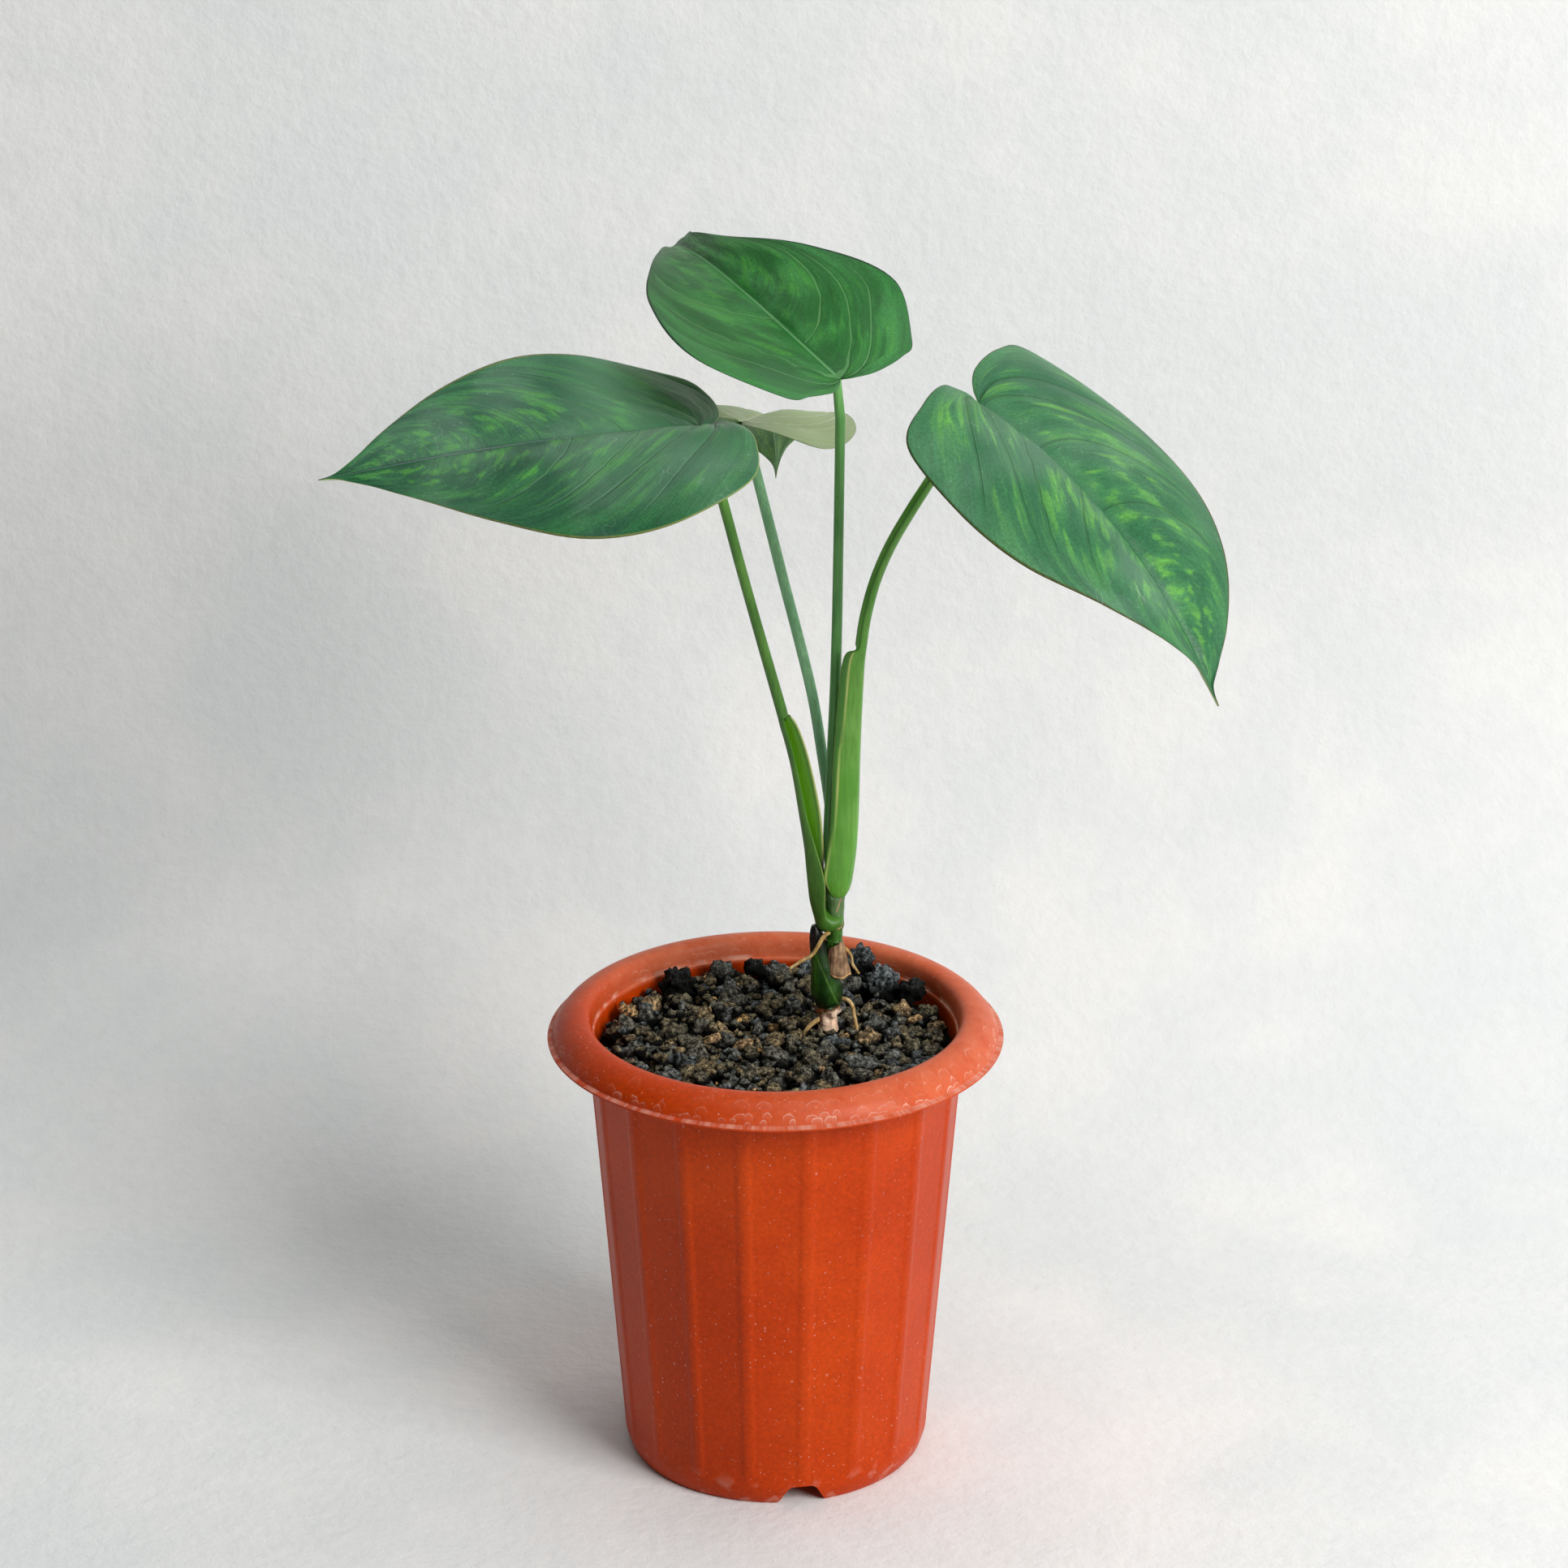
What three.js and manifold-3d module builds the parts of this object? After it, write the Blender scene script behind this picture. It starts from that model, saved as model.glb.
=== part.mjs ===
// A young potted aroid: four heart-shaped blades on long sheathed petioles, one short jointed stem,
// volcanic grit, and a fluted plastic nursery pot. Millimetres, +Z up, -Y to the front, +X to the right.
// The sizes below are measured from the pot's axis at its foot. The finished group is moved so that
// its origin lies under the middle of the whole plant's box, on the surface that the pot stands on.

import * as THREE from "three";
import { mergeVertices } from "three/addons/utils/BufferGeometryUtils.js";
import Module from "manifold-3d";

const wasm = await Module();
wasm.setup();

// Driving dimensions

const clearance = 0.3; // gap between two pieces that touch
const originX = 1.5; // middle of the whole plant, from the pot's axis
const originY = 21.92;

const pot = {
  panels: 18,
  flatTurn: 4.5, // degrees from a panel's middle to the end of its flat
  panelDepth: 0.9823, // a flat panel's distance from the axis, as a share of the rib's radius
  footInner: 47.2,
  footRadius: 48.5,
  footRound: [[50.2, 3.4]],
  bodyFoot: [51.1, 7.3],
  flutedFrom: [52.0, 18.0],
  bodyTop: [62.1, 147.6],
  lipRadius: 75,
  lipBottom: 147.9,
  lipTop: 148.9,
  roll: [
    [73.4, 149.2], [72.2, 151.9], [69.4, 154.7], [66.3, 156.4], [62.7, 156.5], [60.7, 154.2], [60.2, 150],
  ],
  hollow: [
    [62.1, 148.4], [62.3, 152.6], [63.6, 154.9], [66, 154.9], [68.6, 153.2], [70.8, 150.8], [71.9, 148.2],
  ],
  ledge: 149.6,
  wallTop: [59.6, 149.2],
  wallSlope: 0.0782, // the inner wall draws in by this much for each millimetre down
  floorTop: 10,
  floorBottom: 8,
  centreDrain: 5,
  drain: 4,
  drainCircle: 30,
  drains: 6,
  notches: 3,
  notchTurn: 10, // degrees to the right of the front
  notch: { foot: 16, top: 8.6, height: 7, round: 1.6, depth: 12, inside: 4 },
};

const soil = {
  surface: 145.2,
  swell: 0.6,
  segments: 36,
  reach: [50, 36, 20], // radii of the rings across the surface
  footRound: 1.6,
  sideGap: 0.2,
  trim: { foot: 48.2, top: 58.8, height: 150 }, // cone that holds the lumps off the pot's wall
  spacing: 0.97, // least distance between two lumps, as a share of their radii together
  stemRoom: 5.5,
  fineFrom: 4.9, // a lump of a larger radius has more faces
  seed: 7,
  small: 26, // how many lumps of each size the rule draws
  middling: 44,
  smallRadius: [1.7, 2.6],
  middlingRadius: [2.8, 4.1],
  // place and radius of the biggest lumps
  big: [
    [35.5, 34.5, 6.6], [29, 47, 6.2], [46.5, 30.5, 4.9], [-33, 37, 5.8], [-42, 20, 4.6], [-11, -9, 4.6],
    [-22.5, -25, 4.8], [29, -6.5, 4.4], [39.5, 8.5, 4.6], [1, 30, 4.8], [-15, 41, 5.2], [12, -33, 5.0],
    [41, -19, 4.4], [-36, -3, 5.0], [-3, -45, 4.6], [-20, 10, 4.8], [3, 47, 4.4], [-47, -14, 4.2],
  ],
};

const stem = {
  // height, place and radius of each ring from the buried foot to the tip, node rings included
  rings: [
    [126, 16.4, 5, 2.2], [140, 16.6, 5, 3.2], [147.5, 16.9, 5, 3.2], [152.6, 17.2, 5, 2.9],
    [154, 17.4, 5, 3.7], [157.6, 17.8, 5, 3.9], [159.2, 17.9, 5, 3.0], [168, 18.3, 5, 2.7],
    [178.6, 19.1, 5, 2.5], [179.6, 19.3, 5, 2.9], [180.8, 19.4, 5, 2.5], [185.6, 19.6, 5, 2.9],
    [187, 19.7, 5, 2.7], [193.6, 19.9, 5, 2.7], [195.6, 20, 5, 3.0], [199.2, 20, 5, 2.6],
  ],
  sides: 12,
};

// A petiole's stations from its foot to its blade: place, radius, how far its sheath is open (0 is a
// plain round stalk, 1 an open trough), and how far the near and the far wing reach past the stalk.
const petioles = {
  left: {
    opens: [0.9, -0.43, 0],
    stations: [
      [[18.6, 4.8, 184.9], 3.9, 0, 0, 0], [[17.8, 4.6, 186.8], 4.8, 0, 0, 0],
      [[16.5, 4.3, 189.4], 4.3, 0.5, 0, 0], [[14.9, 3.8, 192.2], 3.3, 1, 1.4, 0.4],
      [[13.5, 3.4, 195.6], 2.5, 1, 2.7, 0.9], [[12.7, 3.0, 201], 2.25, 1, 3.4, 1.5],
      [[12.2, 2.8, 207], 2.3, 1, 2.8, 1.9], [[11.6, 2.5, 214], 2.35, 1, 1.4, 2.4],
      [[9.8, 2.0, 226], 2.3, 1, 0.1, 3.2],
      [[7.1, 1.4, 241], 1.95, 1, 0, 3.3], [[4.9, 0.9, 250.5], 1.85, 1, 0, 3.0],
      [[3.3, 0.5, 256.5], 1.85, 1, 0, 2.2], [[2.6, 0.2, 259.4], 1.8, 0.7, 0, 0.8],
      [[2.0, 0, 261.8], 1.8, 0, 0, 0], [[-3.6, -3, 283.7], 1.7, 0, 0, 0],
      [[-7.7, -5.6, 300], 1.65, 0, 0, 0], [[-11.6, -8.4, 316], 1.65, 0, 0, 0],
      [[-15.6, -11.2, 333], 1.65, 0, 0, 0], [[-19.2, -13.4, 347], 1.65, 0, 0, 0],
      [[-22.2, -14.7, 357], 1.7, 0, 0, 0], [[-24.1, -15.2, 362], 1.75, 0, 0, 0],
    ],
  },
  back: {
    opens: [-1, 0, 0],
    stations: [
      [[20.6, 7.0, 199.6], 1.5, 0, 0, 0], [[19.9, 8.2, 206], 1.6, 0, 0, 0],
      [[19.0, 9.0, 214], 1.7, 0, 0, 0], [[17.2, 10.2, 229], 1.75, 0, 0, 0],
      [[15.2, 11.6, 242.3], 1.75, 0, 0, 0], [[12.2, 14, 260.8], 1.75, 0, 0, 0],
      [[7.8, 18, 278.9], 1.75, 0, 0, 0], [[3.0, 22, 296.9], 1.75, 0, 0, 0],
      [[-1.6, 26.6, 314.5], 1.75, 0, 0, 0], [[-5.8, 31, 330.5], 1.7, 0, 0, 0],
      [[-9.2, 34, 342.5], 1.7, 0, 0, 0], [[-11, 35.6, 348.9], 1.75, 0, 0, 0],
    ],
  },
  centre: {
    opens: [1, 0, 0],
    stations: [
      [[18.3, 3.9, 199.6], 1.5, 0, 0, 0], [[17.6, 4.3, 206], 1.6, 0, 0, 0],
      [[17.2, 4.6, 214], 1.7, 0, 0, 0], [[17.6, 4.8, 226], 1.75, 0, 0, 0],
      [[18.5, 5, 248], 1.75, 0, 0, 0], [[19.2, 5, 266], 1.75, 0, 0, 0],
      [[19.7, 5, 286.3], 1.7, 0, 0, 0], [[20.0, 5, 308.2], 1.65, 0, 0, 0],
      [[20.3, 5, 335.3], 1.6, 0, 0, 0], [[20.5, 5, 358], 1.6, 0, 0, 0],
      [[20.4, 5, 372.5], 1.65, 0, 0, 0],
    ],
  },
  right: {
    opens: [-1, 0, 0],
    stations: [
      [[20.3, 4.7, 195.2], 3.0, 1, 0, 0], [[20.3, 4.7, 196], 3.7, 1, 0.3, 0],
      [[20.4, 4.5, 197.8], 4.1, 1, 1.4, 0],
      [[20.8, 4.4, 200], 4.15, 1, 2.7, 0], [[21.2, 4.3, 203], 4.1, 1, 3.6, 0],
      [[22.4, 4.1, 211], 3.9, 1, 3.8, 0], [[23.4, 4.0, 220], 3.5, 1, 3.9, 0],
      [[24.1, 3.7, 230], 3.1, 1, 4.3, 0], [[24.8, 3.1, 243], 2.6, 1, 4.8, 0.2],
      [[25.4, 2.2, 256], 2.35, 1, 4.6, 0.5], [[26.0, 1.3, 267], 2.15, 1, 4.5, 0.7],
      [[26.6, 0.4, 277], 2.0, 1, 4.3, 0.8], [[27.1, -0.3, 282], 1.95, 1, 3.2, 0.4],
      [[27.4, -0.7, 284.4], 1.9, 0, 0, 0], [[28.7, -1.9, 294.3], 1.9, 0, 0, 0],
      [[31.6, -3, 306.5], 1.85, 0, 0, 0], [[36.2, -4.1, 318.5], 1.85, 0, 0, 0],
      [[42.4, -5.6, 330.5], 1.85, 0, 0, 0], [[49.6, -7.2, 343], 1.8, 0, 0, 0],
      [[56.6, -8.8, 355], 1.75, 0, 0, 0], [[61.6, -9.7, 363.6], 1.75, 0, 0, 0],
      [[64.1, -10.1, 368.0], 1.75, 0, 0, 0],
    ],
  },
};

// A blade is given by its joint, the midrib's length, the pitch and heading of the midrib at the joint
// and at the tip, its roll, how each half folds up from the midrib and curls down past it, and its
// heart-shaped outline in midrib lengths: its widest reach, its lobe's depth, where it is widest, how
// full its middle is, and where it isn't as usual, how full its shoulder and its drip tip are. Angles
// are in degrees. The left half comes first in a pair.
const blades = {
  left: {
    joint: [-23.9, -15, 361.6], length: 120.4, pitch: [2.7, -8.8], droop: 1, heading: [196.5, 196.3],
    roll: [13, -38], fold: [0.256, 0.251], curl: [1.365, -0.475],
    half: [0.429, 0.315], lobe: [0.086, 0.086], place: [-0.01, -0.01], middle: [1.047, 1.047],
  },
  back: {
    joint: [-10.7, 35, 348.3], length: 102.4, pitch: [-12.7, -84.2], droop: 3.285, heading: [78.3, 88.2],
    roll: [5, -25.4], fold: [0.254, -0.05], curl: [0.458, 0.362],
    half: [0.355, 0.322], lobe: [0.12, 0.121], place: [0.066, 0.066], middle: [0.84, 0.84],
  },
  top: {
    joint: [20.4, 5, 371.4], length: 116.8, pitch: [32.6, -26.3], droop: 1.459, heading: [147.7, 95.5],
    roll: [-0.1, -28.9], fold: [0.221, 0.263], curl: [0.103, 0.249],
    half: [0.41, 0.37], lobe: [0.047, 0.045], place: [0.008, 0.011], middle: [0.643, 0.437],
    shoulder: [0.804, 0.781], tip: [0.718, 1.114],
  },
  right: {
    joint: [63.6, -10, 367.4], length: 122, pitch: [-27, -61.5], droop: 1, heading: [-22.9, -41],
    roll: [-6.6, -9.8], fold: [0.397, 0.44], curl: [0.579, 1.541],
    half: [0.444, 0.44], lobe: [0.081, 0.081], place: [0.051, 0.051], middle: [1.099, 1.099],
  },
};

const bladeBuild = {
  rows: 22,
  across: [1, 0.86, 0.62, 0.36, 0.12], // share of the way from the midrib to the margin
  thickness: 0.7,
  keel: 1.3, // the midrib stands out this far under the blade at the joint
  keelWidth: 2.4,
  groove: 0.45, // and is sunk this far on top
  laterals: 6, // side veins in each half
  quilt: 0.55, // how far the blade bulges between two side veins
  firstVein: 2 / 11, // share of the outline where the side veins start
};

const oldSheath = {
  // the stub of an older leaf, which leans off the stem to the left
  rings: [
    [[17.4, 4.4, 158.4], 3.8, 3.8], [[16.9, 4.2, 160.5], 4.6, 4.4], [[16.0, 3.9, 166], 4.3, 4.2],
    [[15.2, 3.6, 172], 3.4, 3.6], [[14.3, 3.5, 177], 2.9, 3.1], [[13.6, 3.4, 181], 2.5, 2.6],
    [[13.1, 3.2, 183.6], 1.9, 2.1], [[12.8, 3.2, 185.6], 1.0, 1.2],
  ],
  sides: 12,
};

const husk = {
  centre: [19.2, 4.6],
  radius: 4.3,
  flare: 1.6, // the lower right corner stands out this much further
  draw: 0.5, // and the top lies this much closer to the stem
  narrowing: 0.45, // share of the width lost towards the top
  thickness: 0.8,
  bottom: 167.5,
  rise: 3.2, // the left end of the lower margin lies this much higher
  top: 180.6,
  fall: 2.5, // and the left end of the top this much lower
  turn: [-150, -2],
  columns: 9,
  rows: 6,
};

const roots = {
  root_left: { radius: [0.75, 0.5], points: [[17.6, 1.9, 183.6], [15.6, 0.4, 182.6], [13.5, -1.6, 179.4],
    [11.4, -2.4, 177], [8.1, -3, 175.3], [4.6, -3.8, 173.2]] },
  root_right: { radius: [0.55, 0.4], points: [[23.6, 3.2, 176.6], [24.9, 3.2, 174.4], [25.2, 3.2, 172],
    [26.4, 2.8, 170], [27.4, 2.6, 168.6]] },
  root_low: { radius: [0.7, 0.5], points: [[21.9, 4.4, 158.8], [24, 3.2, 158.6], [25.4, 2, 156.8],
    [26, 1.2, 153.6], [26.8, 0, 149.6], [27.1, -0.4, 145.4]] },
  root_foot: { radius: [0.9, 0.6], points: [[13.6, 3.4, 151.4], [11.6, 2.4, 150.2], [9.9, 1.6, 148.2],
    [8.6, 1, 144.6]] },
};

// Colours and finishes

const finishes = {
  plastic: { color: 0xc24a28, roughness: 0.45 },
  grit: { color: 0x3a3835, roughness: 0.95 },
  stem: { color: 0x3c6b2a, roughness: 0.55 },
  petiole: { color: 0x4f8438, roughness: 0.45 },
  blade: { color: 0x2c6b3c, roughness: 0.4 },
  papery: { color: 0x7a6152, roughness: 0.8 },
  root: { color: 0xa98a58, roughness: 0.8 },
};

function finish(name) {
  return new THREE.MeshStandardMaterial({ ...finishes[name], metalness: 0, side: THREE.FrontSide });
}

// Shared geometry

const radians = THREE.MathUtils.degToRad;
const mix = THREE.MathUtils.lerp;
const point = (xyz) => new THREE.Vector3(...xyz);

// A closed body has no shrunken triangle, and its faces point out.
function closedBody(positions, triangles) {
  const loose = new THREE.BufferGeometry();
  loose.setAttribute("position", new THREE.Float32BufferAttribute(positions, 3));
  loose.setIndex(triangles.flat());
  const merged = mergeVertices(loose, 1e-3);
  const index = Array.from(merged.index.array);
  const kept = [];
  for (let i = 0; i < index.length; i += 3) {
    const [a, b, c] = index.slice(i, i + 3);
    if (a !== b && b !== c && c !== a) kept.push([a, b, c]);
  }
  merged.setIndex(kept.flat());
  if (volume(merged) < 0) merged.setIndex(kept.flatMap(([a, b, c]) => [a, c, b]));
  return merged;
}

function volume(geometry) {
  const at = (i) => new THREE.Vector3().fromBufferAttribute(geometry.attributes.position, i);
  const index = geometry.index.array;
  let sum = 0;
  for (let i = 0; i < index.length; i += 3) {
    sum += at(index[i]).dot(at(index[i + 1]).cross(at(index[i + 2]))) / 6;
  }
  return sum;
}

// Joins rings of equal count into one body. A quad is split along its other diagonal where flipped
// says so, and open end rings are capped with the triangles given.
function skin(rings, { startCap = [], endCap = [], flipped = () => false } = {}) {
  const count = rings[0].length;
  const triangles = [];
  for (let i = 0; i < rings.length - 1; i += 1) {
    for (let j = 0; j < count; j += 1) {
      const k = (j + 1) % count;
      const [a, b, c, d] = [i * count + j, i * count + k, (i + 1) * count + k, (i + 1) * count + j];
      triangles.push(...(flipped(j) ? [[a, b, d], [b, c, d]] : [[a, b, c], [a, c, d]]));
    }
  }
  const last = (rings.length - 1) * count;
  startCap.forEach(([a, b, c]) => triangles.push([a, c, b]));
  endCap.forEach(([a, b, c]) => triangles.push([last + a, last + b, last + c]));
  return closedBody(rings.flat().flatMap((p) => p.toArray()), triangles);
}

// Stands flat sections across a route, with their first axis turned towards "opens".
function sweep(route, sections, opens) {
  const rings = sections.map((section, i) => {
    const before = route[Math.max(i - 1, 0)];
    const after = route[Math.min(i + 1, route.length - 1)];
    const along = after.clone().sub(before).normalize();
    const first = opens.clone().addScaledVector(along, -opens.dot(along)).normalize();
    const second = along.clone().cross(first);
    return section.map((p) => route[i].clone().addScaledVector(first, p.x).addScaledVector(second, p.y));
  });
  const cap = (section) => THREE.ShapeUtils.triangulateShape(section, []);
  return skin(rings, { startCap: cap(sections[0]), endCap: cap(sections.at(-1)) });
}

function oval(sides, a, b = a) {
  return Array.from({ length: sides }, (_, i) => {
    const turn = (i / sides) * 2 * Math.PI;
    return new THREE.Vector2(a * Math.cos(turn), b * Math.sin(turn));
  });
}

function toSolid(geometry) {
  const bare = geometry.clone();
  bare.deleteAttribute("normal");
  bare.deleteAttribute("uv");
  const merged = mergeVertices(bare, 1e-4);
  return new wasm.Manifold(new wasm.Mesh({
    numProp: 3,
    vertProperties: new Float32Array(merged.attributes.position.array),
    triVerts: new Uint32Array(merged.index.array),
  }));
}

function fromSolid(solid) {
  const mesh = solid.getMesh();
  const geometry = new THREE.BufferGeometry();
  geometry.setAttribute("position", new THREE.BufferAttribute(mesh.vertProperties, 3));
  geometry.setIndex(new THREE.BufferAttribute(mesh.triVerts, 1));
  return geometry;
}

// Cuts the tools away from a body, which stays one body.
function cutBy(geometry, tools) {
  return fromSolid(tools.reduce((body, tool) => body.subtract(toSolid(tool)), toSolid(geometry)));
}

function piece(name, geometry, finishName) {
  geometry.computeVertexNormals();
  const mesh = new THREE.Mesh(geometry, finish(finishName));
  mesh.name = name;
  return mesh;
}

// The same draws every time, from a small generator with a seed.
function seededRandom(seed) {
  let state = seed;
  return () => {
    state = (state * 1664525 + 1013904223) % 4294967296;
    return state / 4294967296;
  };
}

// Pot: thin moulded wall with a hollow rolled rim, flat panels between beads, and a raised floor

function potWall(z) {
  const [top, height] = pot.wallTop;
  return top - pot.wallSlope * (height - z);
}

function arcPoints(points, count) {
  const curve = new THREE.SplineCurve(points.map(([r, z]) => new THREE.Vector2(r, z)));
  return curve.getPoints(count).map((p) => [p.x, p.y]);
}

// The outline of the wall from the floor's underside, out, up, over the rim and down inside.
function potOutline() {
  const fluted = (points) => points.map(([r, z]) => ({ r, z, fluted: true }));
  const round = (points) => points.map(([r, z]) => ({ r, z, fluted: false }));
  return [
    ...round([[0, pot.floorBottom], [pot.footInner - 0.4, pot.floorBottom], [pot.footInner, 0]]),
    ...round([[pot.footRadius, 0], ...pot.footRound, pot.bodyFoot]),
    ...fluted([pot.flutedFrom, pot.bodyTop]),
    ...round([...arcPoints(pot.hollow, 4), [pot.hollow.at(-1)[0], pot.lipBottom]]),
    ...round([[pot.lipRadius, pot.lipBottom], [pot.lipRadius, pot.lipTop]]),
    ...round([...arcPoints(pot.roll, 7), [pot.roll.at(-1)[0], pot.ledge], pot.wallTop]),
    ...round([[potWall(pot.floorTop + 1), pot.floorTop + 1], [potWall(pot.floorTop) - 1, pot.floorTop]]),
    ...round([[0, pot.floorTop]]),
  ];
}

// Angles across one panel, from a bead's crest to the next, and the wall's share of the rib's radius.
function panelStations() {
  const pitch = 360 / pot.panels;
  return [-pitch / 2, -pot.flatTurn, pot.flatTurn].map((turn) => ({
    turn,
    share: Math.abs(turn) === pitch / 2 ? 1 : pot.panelDepth / Math.cos(radians(turn)),
  }));
}

function potBody() {
  const pitch = 360 / pot.panels;
  const columns = [];
  for (let panel = 0; panel < pot.panels; panel += 1) {
    panelStations().forEach(({ turn, share }) => {
      columns.push({ turn: radians(panel * pitch + turn), share });
    });
  }
  const rings = potOutline().map(({ r, z, fluted }) => columns.map(({ turn, share }) => {
    const radius = fluted ? r * share : r;
    return new THREE.Vector3(radius * Math.sin(turn), -radius * Math.cos(turn), z);
  }));
  return skin(rings);
}

function notchTool(turn) {
  const { foot, top, height, round } = pot.notch;
  const outline = new THREE.Shape([
    new THREE.Vector2(-foot / 2, -1), new THREE.Vector2(foot / 2, -1), new THREE.Vector2(foot / 2, 0),
    new THREE.Vector2(top / 2, height - round), new THREE.Vector2(top / 2 - round, height),
    new THREE.Vector2(round - top / 2, height), new THREE.Vector2(-top / 2, height - round),
    new THREE.Vector2(-foot / 2, 0),
  ]);
  const tool = new THREE.ExtrudeGeometry(outline, { depth: pot.notch.depth, bevelEnabled: false });
  return tool.rotateX(Math.PI / 2).translate(0, pot.notch.inside - pot.footInner, 0).rotateZ(radians(turn));
}

function drainTool(radius, x, y) {
  const height = pot.floorTop - pot.floorBottom + 2;
  const middle = (pot.floorTop + pot.floorBottom) / 2;
  return new THREE.CylinderGeometry(radius, radius, height, 12).rotateX(Math.PI / 2).translate(x, y, middle);
}

function makePot() {
  const tools = [drainTool(pot.centreDrain, 0, 0)];
  for (let i = 0; i < pot.notches; i += 1) tools.push(notchTool(pot.notchTurn + (i * 360) / pot.notches));
  for (let i = 0; i < pot.drains; i += 1) {
    const turn = radians((i * 360) / pot.drains);
    tools.push(drainTool(pot.drain, pot.drainCircle * Math.cos(turn), pot.drainCircle * Math.sin(turn)));
  }
  return piece("pot", cutBy(potBody(), tools), "plastic");
}

// Soil: fills the pot to just under the ledge, with rough lumps sunk into it

function soilFill() {
  const wall = (z) => potWall(z) * Math.cos(radians(pot.flatTurn)) - clearance;
  const levels = [
    [0, pot.floorTop + clearance], [wall(pot.floorTop) - soil.footRound, pot.floorTop + clearance],
    [wall(pot.floorTop + 2) - soil.sideGap, pot.floorTop + 2],
    [wall(soil.surface - 1) - soil.sideGap, soil.surface - 1],
    ...soil.reach.map((r) => [r, soil.surface]), [0, soil.surface],
  ];
  return skin(levels.map(([r, z]) => Array.from({ length: soil.segments }, (_, i) => {
    const turn = (i / soil.segments) * 2 * Math.PI;
    const wave = soil.swell * Math.sin(3 * turn + r) * Math.min(r / soil.reach.at(-1), 1);
    const ripple = z === soil.surface ? wave : 0;
    return new THREE.Vector3(r * Math.cos(turn), r * Math.sin(turn), z + ripple);
  })));
}

// A rough lump: a ball of few faces, pushed in and out at its corners, stretched and turned.
function lump(random, radius, detail, x, y, z) {
  const ball = new THREE.IcosahedronGeometry(radius, detail);
  ball.deleteAttribute("normal");
  ball.deleteAttribute("uv");
  const rough = mergeVertices(ball, 1e-4);
  const corners = rough.attributes.position;
  for (let i = 0; i < corners.count; i += 1) {
    const push = 0.82 + 0.36 * random();
    corners.setXYZ(i, corners.getX(i) * push, corners.getY(i) * push, corners.getZ(i) * push);
  }
  rough.scale(0.85 + 0.35 * random(), 0.85 + 0.35 * random(), 0.8 + 0.25 * random());
  return rough.rotateX(3 * random()).rotateZ(6 * random()).translate(x, y, z);
}

function soilLumps() {
  const random = seededRandom(soil.seed);
  const reach = potWall(soil.surface) - clearance;
  const stemFoot = new THREE.Vector2(stem.rings[2][1], stem.rings[2][2]);
  const placed = soil.big.map(([x, y, r]) => ({ at: new THREE.Vector2(x, y), r }));
  const drawn = [[soil.middling, soil.middlingRadius], [soil.small, soil.smallRadius]];
  drawn.forEach(([count, [least, most]]) => {
    for (let tries = 0, found = 0; found < count && tries < 4000; tries += 1) {
      const r = mix(least, most, random());
      const out = (reach - 1.3 * r) * Math.sqrt(random());
      const turn = 2 * Math.PI * random();
      const at = new THREE.Vector2(out * Math.cos(turn), out * Math.sin(turn));
      const crowded = placed.some((other) => other.at.distanceTo(at) < soil.spacing * (other.r + r));
      if (crowded || at.distanceTo(stemFoot) < soil.stemRoom + r) continue;
      placed.push({ at, r });
      found += 1;
    }
  });
  return placed.map(({ at, r }) => {
    const detail = r > soil.fineFrom ? 1 : 0;
    return lump(random, r, detail, at.x, at.y, soil.surface + (0.3 * random() - 0.05) * r);
  });
}

function makeSoil(holes) {
  const body = soilLumps().reduce((sum, each) => sum.add(toSolid(each)), toSolid(soilFill()));
  const { foot, top, height } = soil.trim;
  const cone = new THREE.CylinderGeometry(top, foot, height, 72).rotateX(Math.PI / 2);
  const trimmed = body.intersect(toSolid(cone.translate(0, 0, pot.floorTop + height / 2)));
  const planted = holes.reduce((left, hole) => left.subtract(toSolid(hole)), trimmed);
  return piece("soil", fromSolid(planted), "grit");
}

// Stem: one short jointed stem with a pale root stub at the grit and rings where leaves were

function stemBody(grown) {
  const route = stem.rings.map(([z, x, y]) => new THREE.Vector3(x, y, z));
  const sections = stem.rings.map(([, , , r]) => oval(stem.sides, r + grown));
  if (grown > 0) {
    route[0].z -= 2 * grown;
    route.at(-1).z += grown;
  }
  return sweep(route, sections, new THREE.Vector3(1, 0, 0));
}

// Petioles: round stalks whose lower ends open into sheaths around what grows inside them

const stalkOuter = 9; // points round the outside of a section
const stalkInner = 5; // points across its open side
const stalkOpening = radians(62); // half of the open side's angle
const trough = { share: 0.62, depth: 0.25, width: 0.9, wingFoot: 0.45, wingTaper: 0.2 };

// The section's first axis points to the open side, and the first wing given lies at its far end round.
function outerPoint(outside, i, nearWing, farWing) {
  const share = i / (stalkOuter - 1);
  const turn = mix(stalkOpening, 2 * Math.PI - stalkOpening, share);
  const reach = share < 0.5 ? farWing * (1 - share * 4) : nearWing * (share * 4 - 3);
  return new THREE.Vector2(outside * Math.cos(turn) + Math.max(reach, 0), outside * Math.sin(turn));
}

// Inside of the open side: a point in each wing, and the trough's bottom between them.
function troughPoint(radius, i, nearWing, farWing) {
  const hollow = trough.share * radius;
  const turn = mix(-stalkOpening, stalkOpening, i / (stalkInner + 1));
  if (i > 1 && i < stalkInner) {
    return new THREE.Vector2(-trough.depth * hollow * Math.cos(turn), trough.width * hollow * Math.sin(turn));
  }
  const wing = i === 1 ? nearWing : farWing;
  return new THREE.Vector2(trough.wingFoot * hollow + wing - trough.wingTaper, hollow * Math.sin(turn));
}

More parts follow.
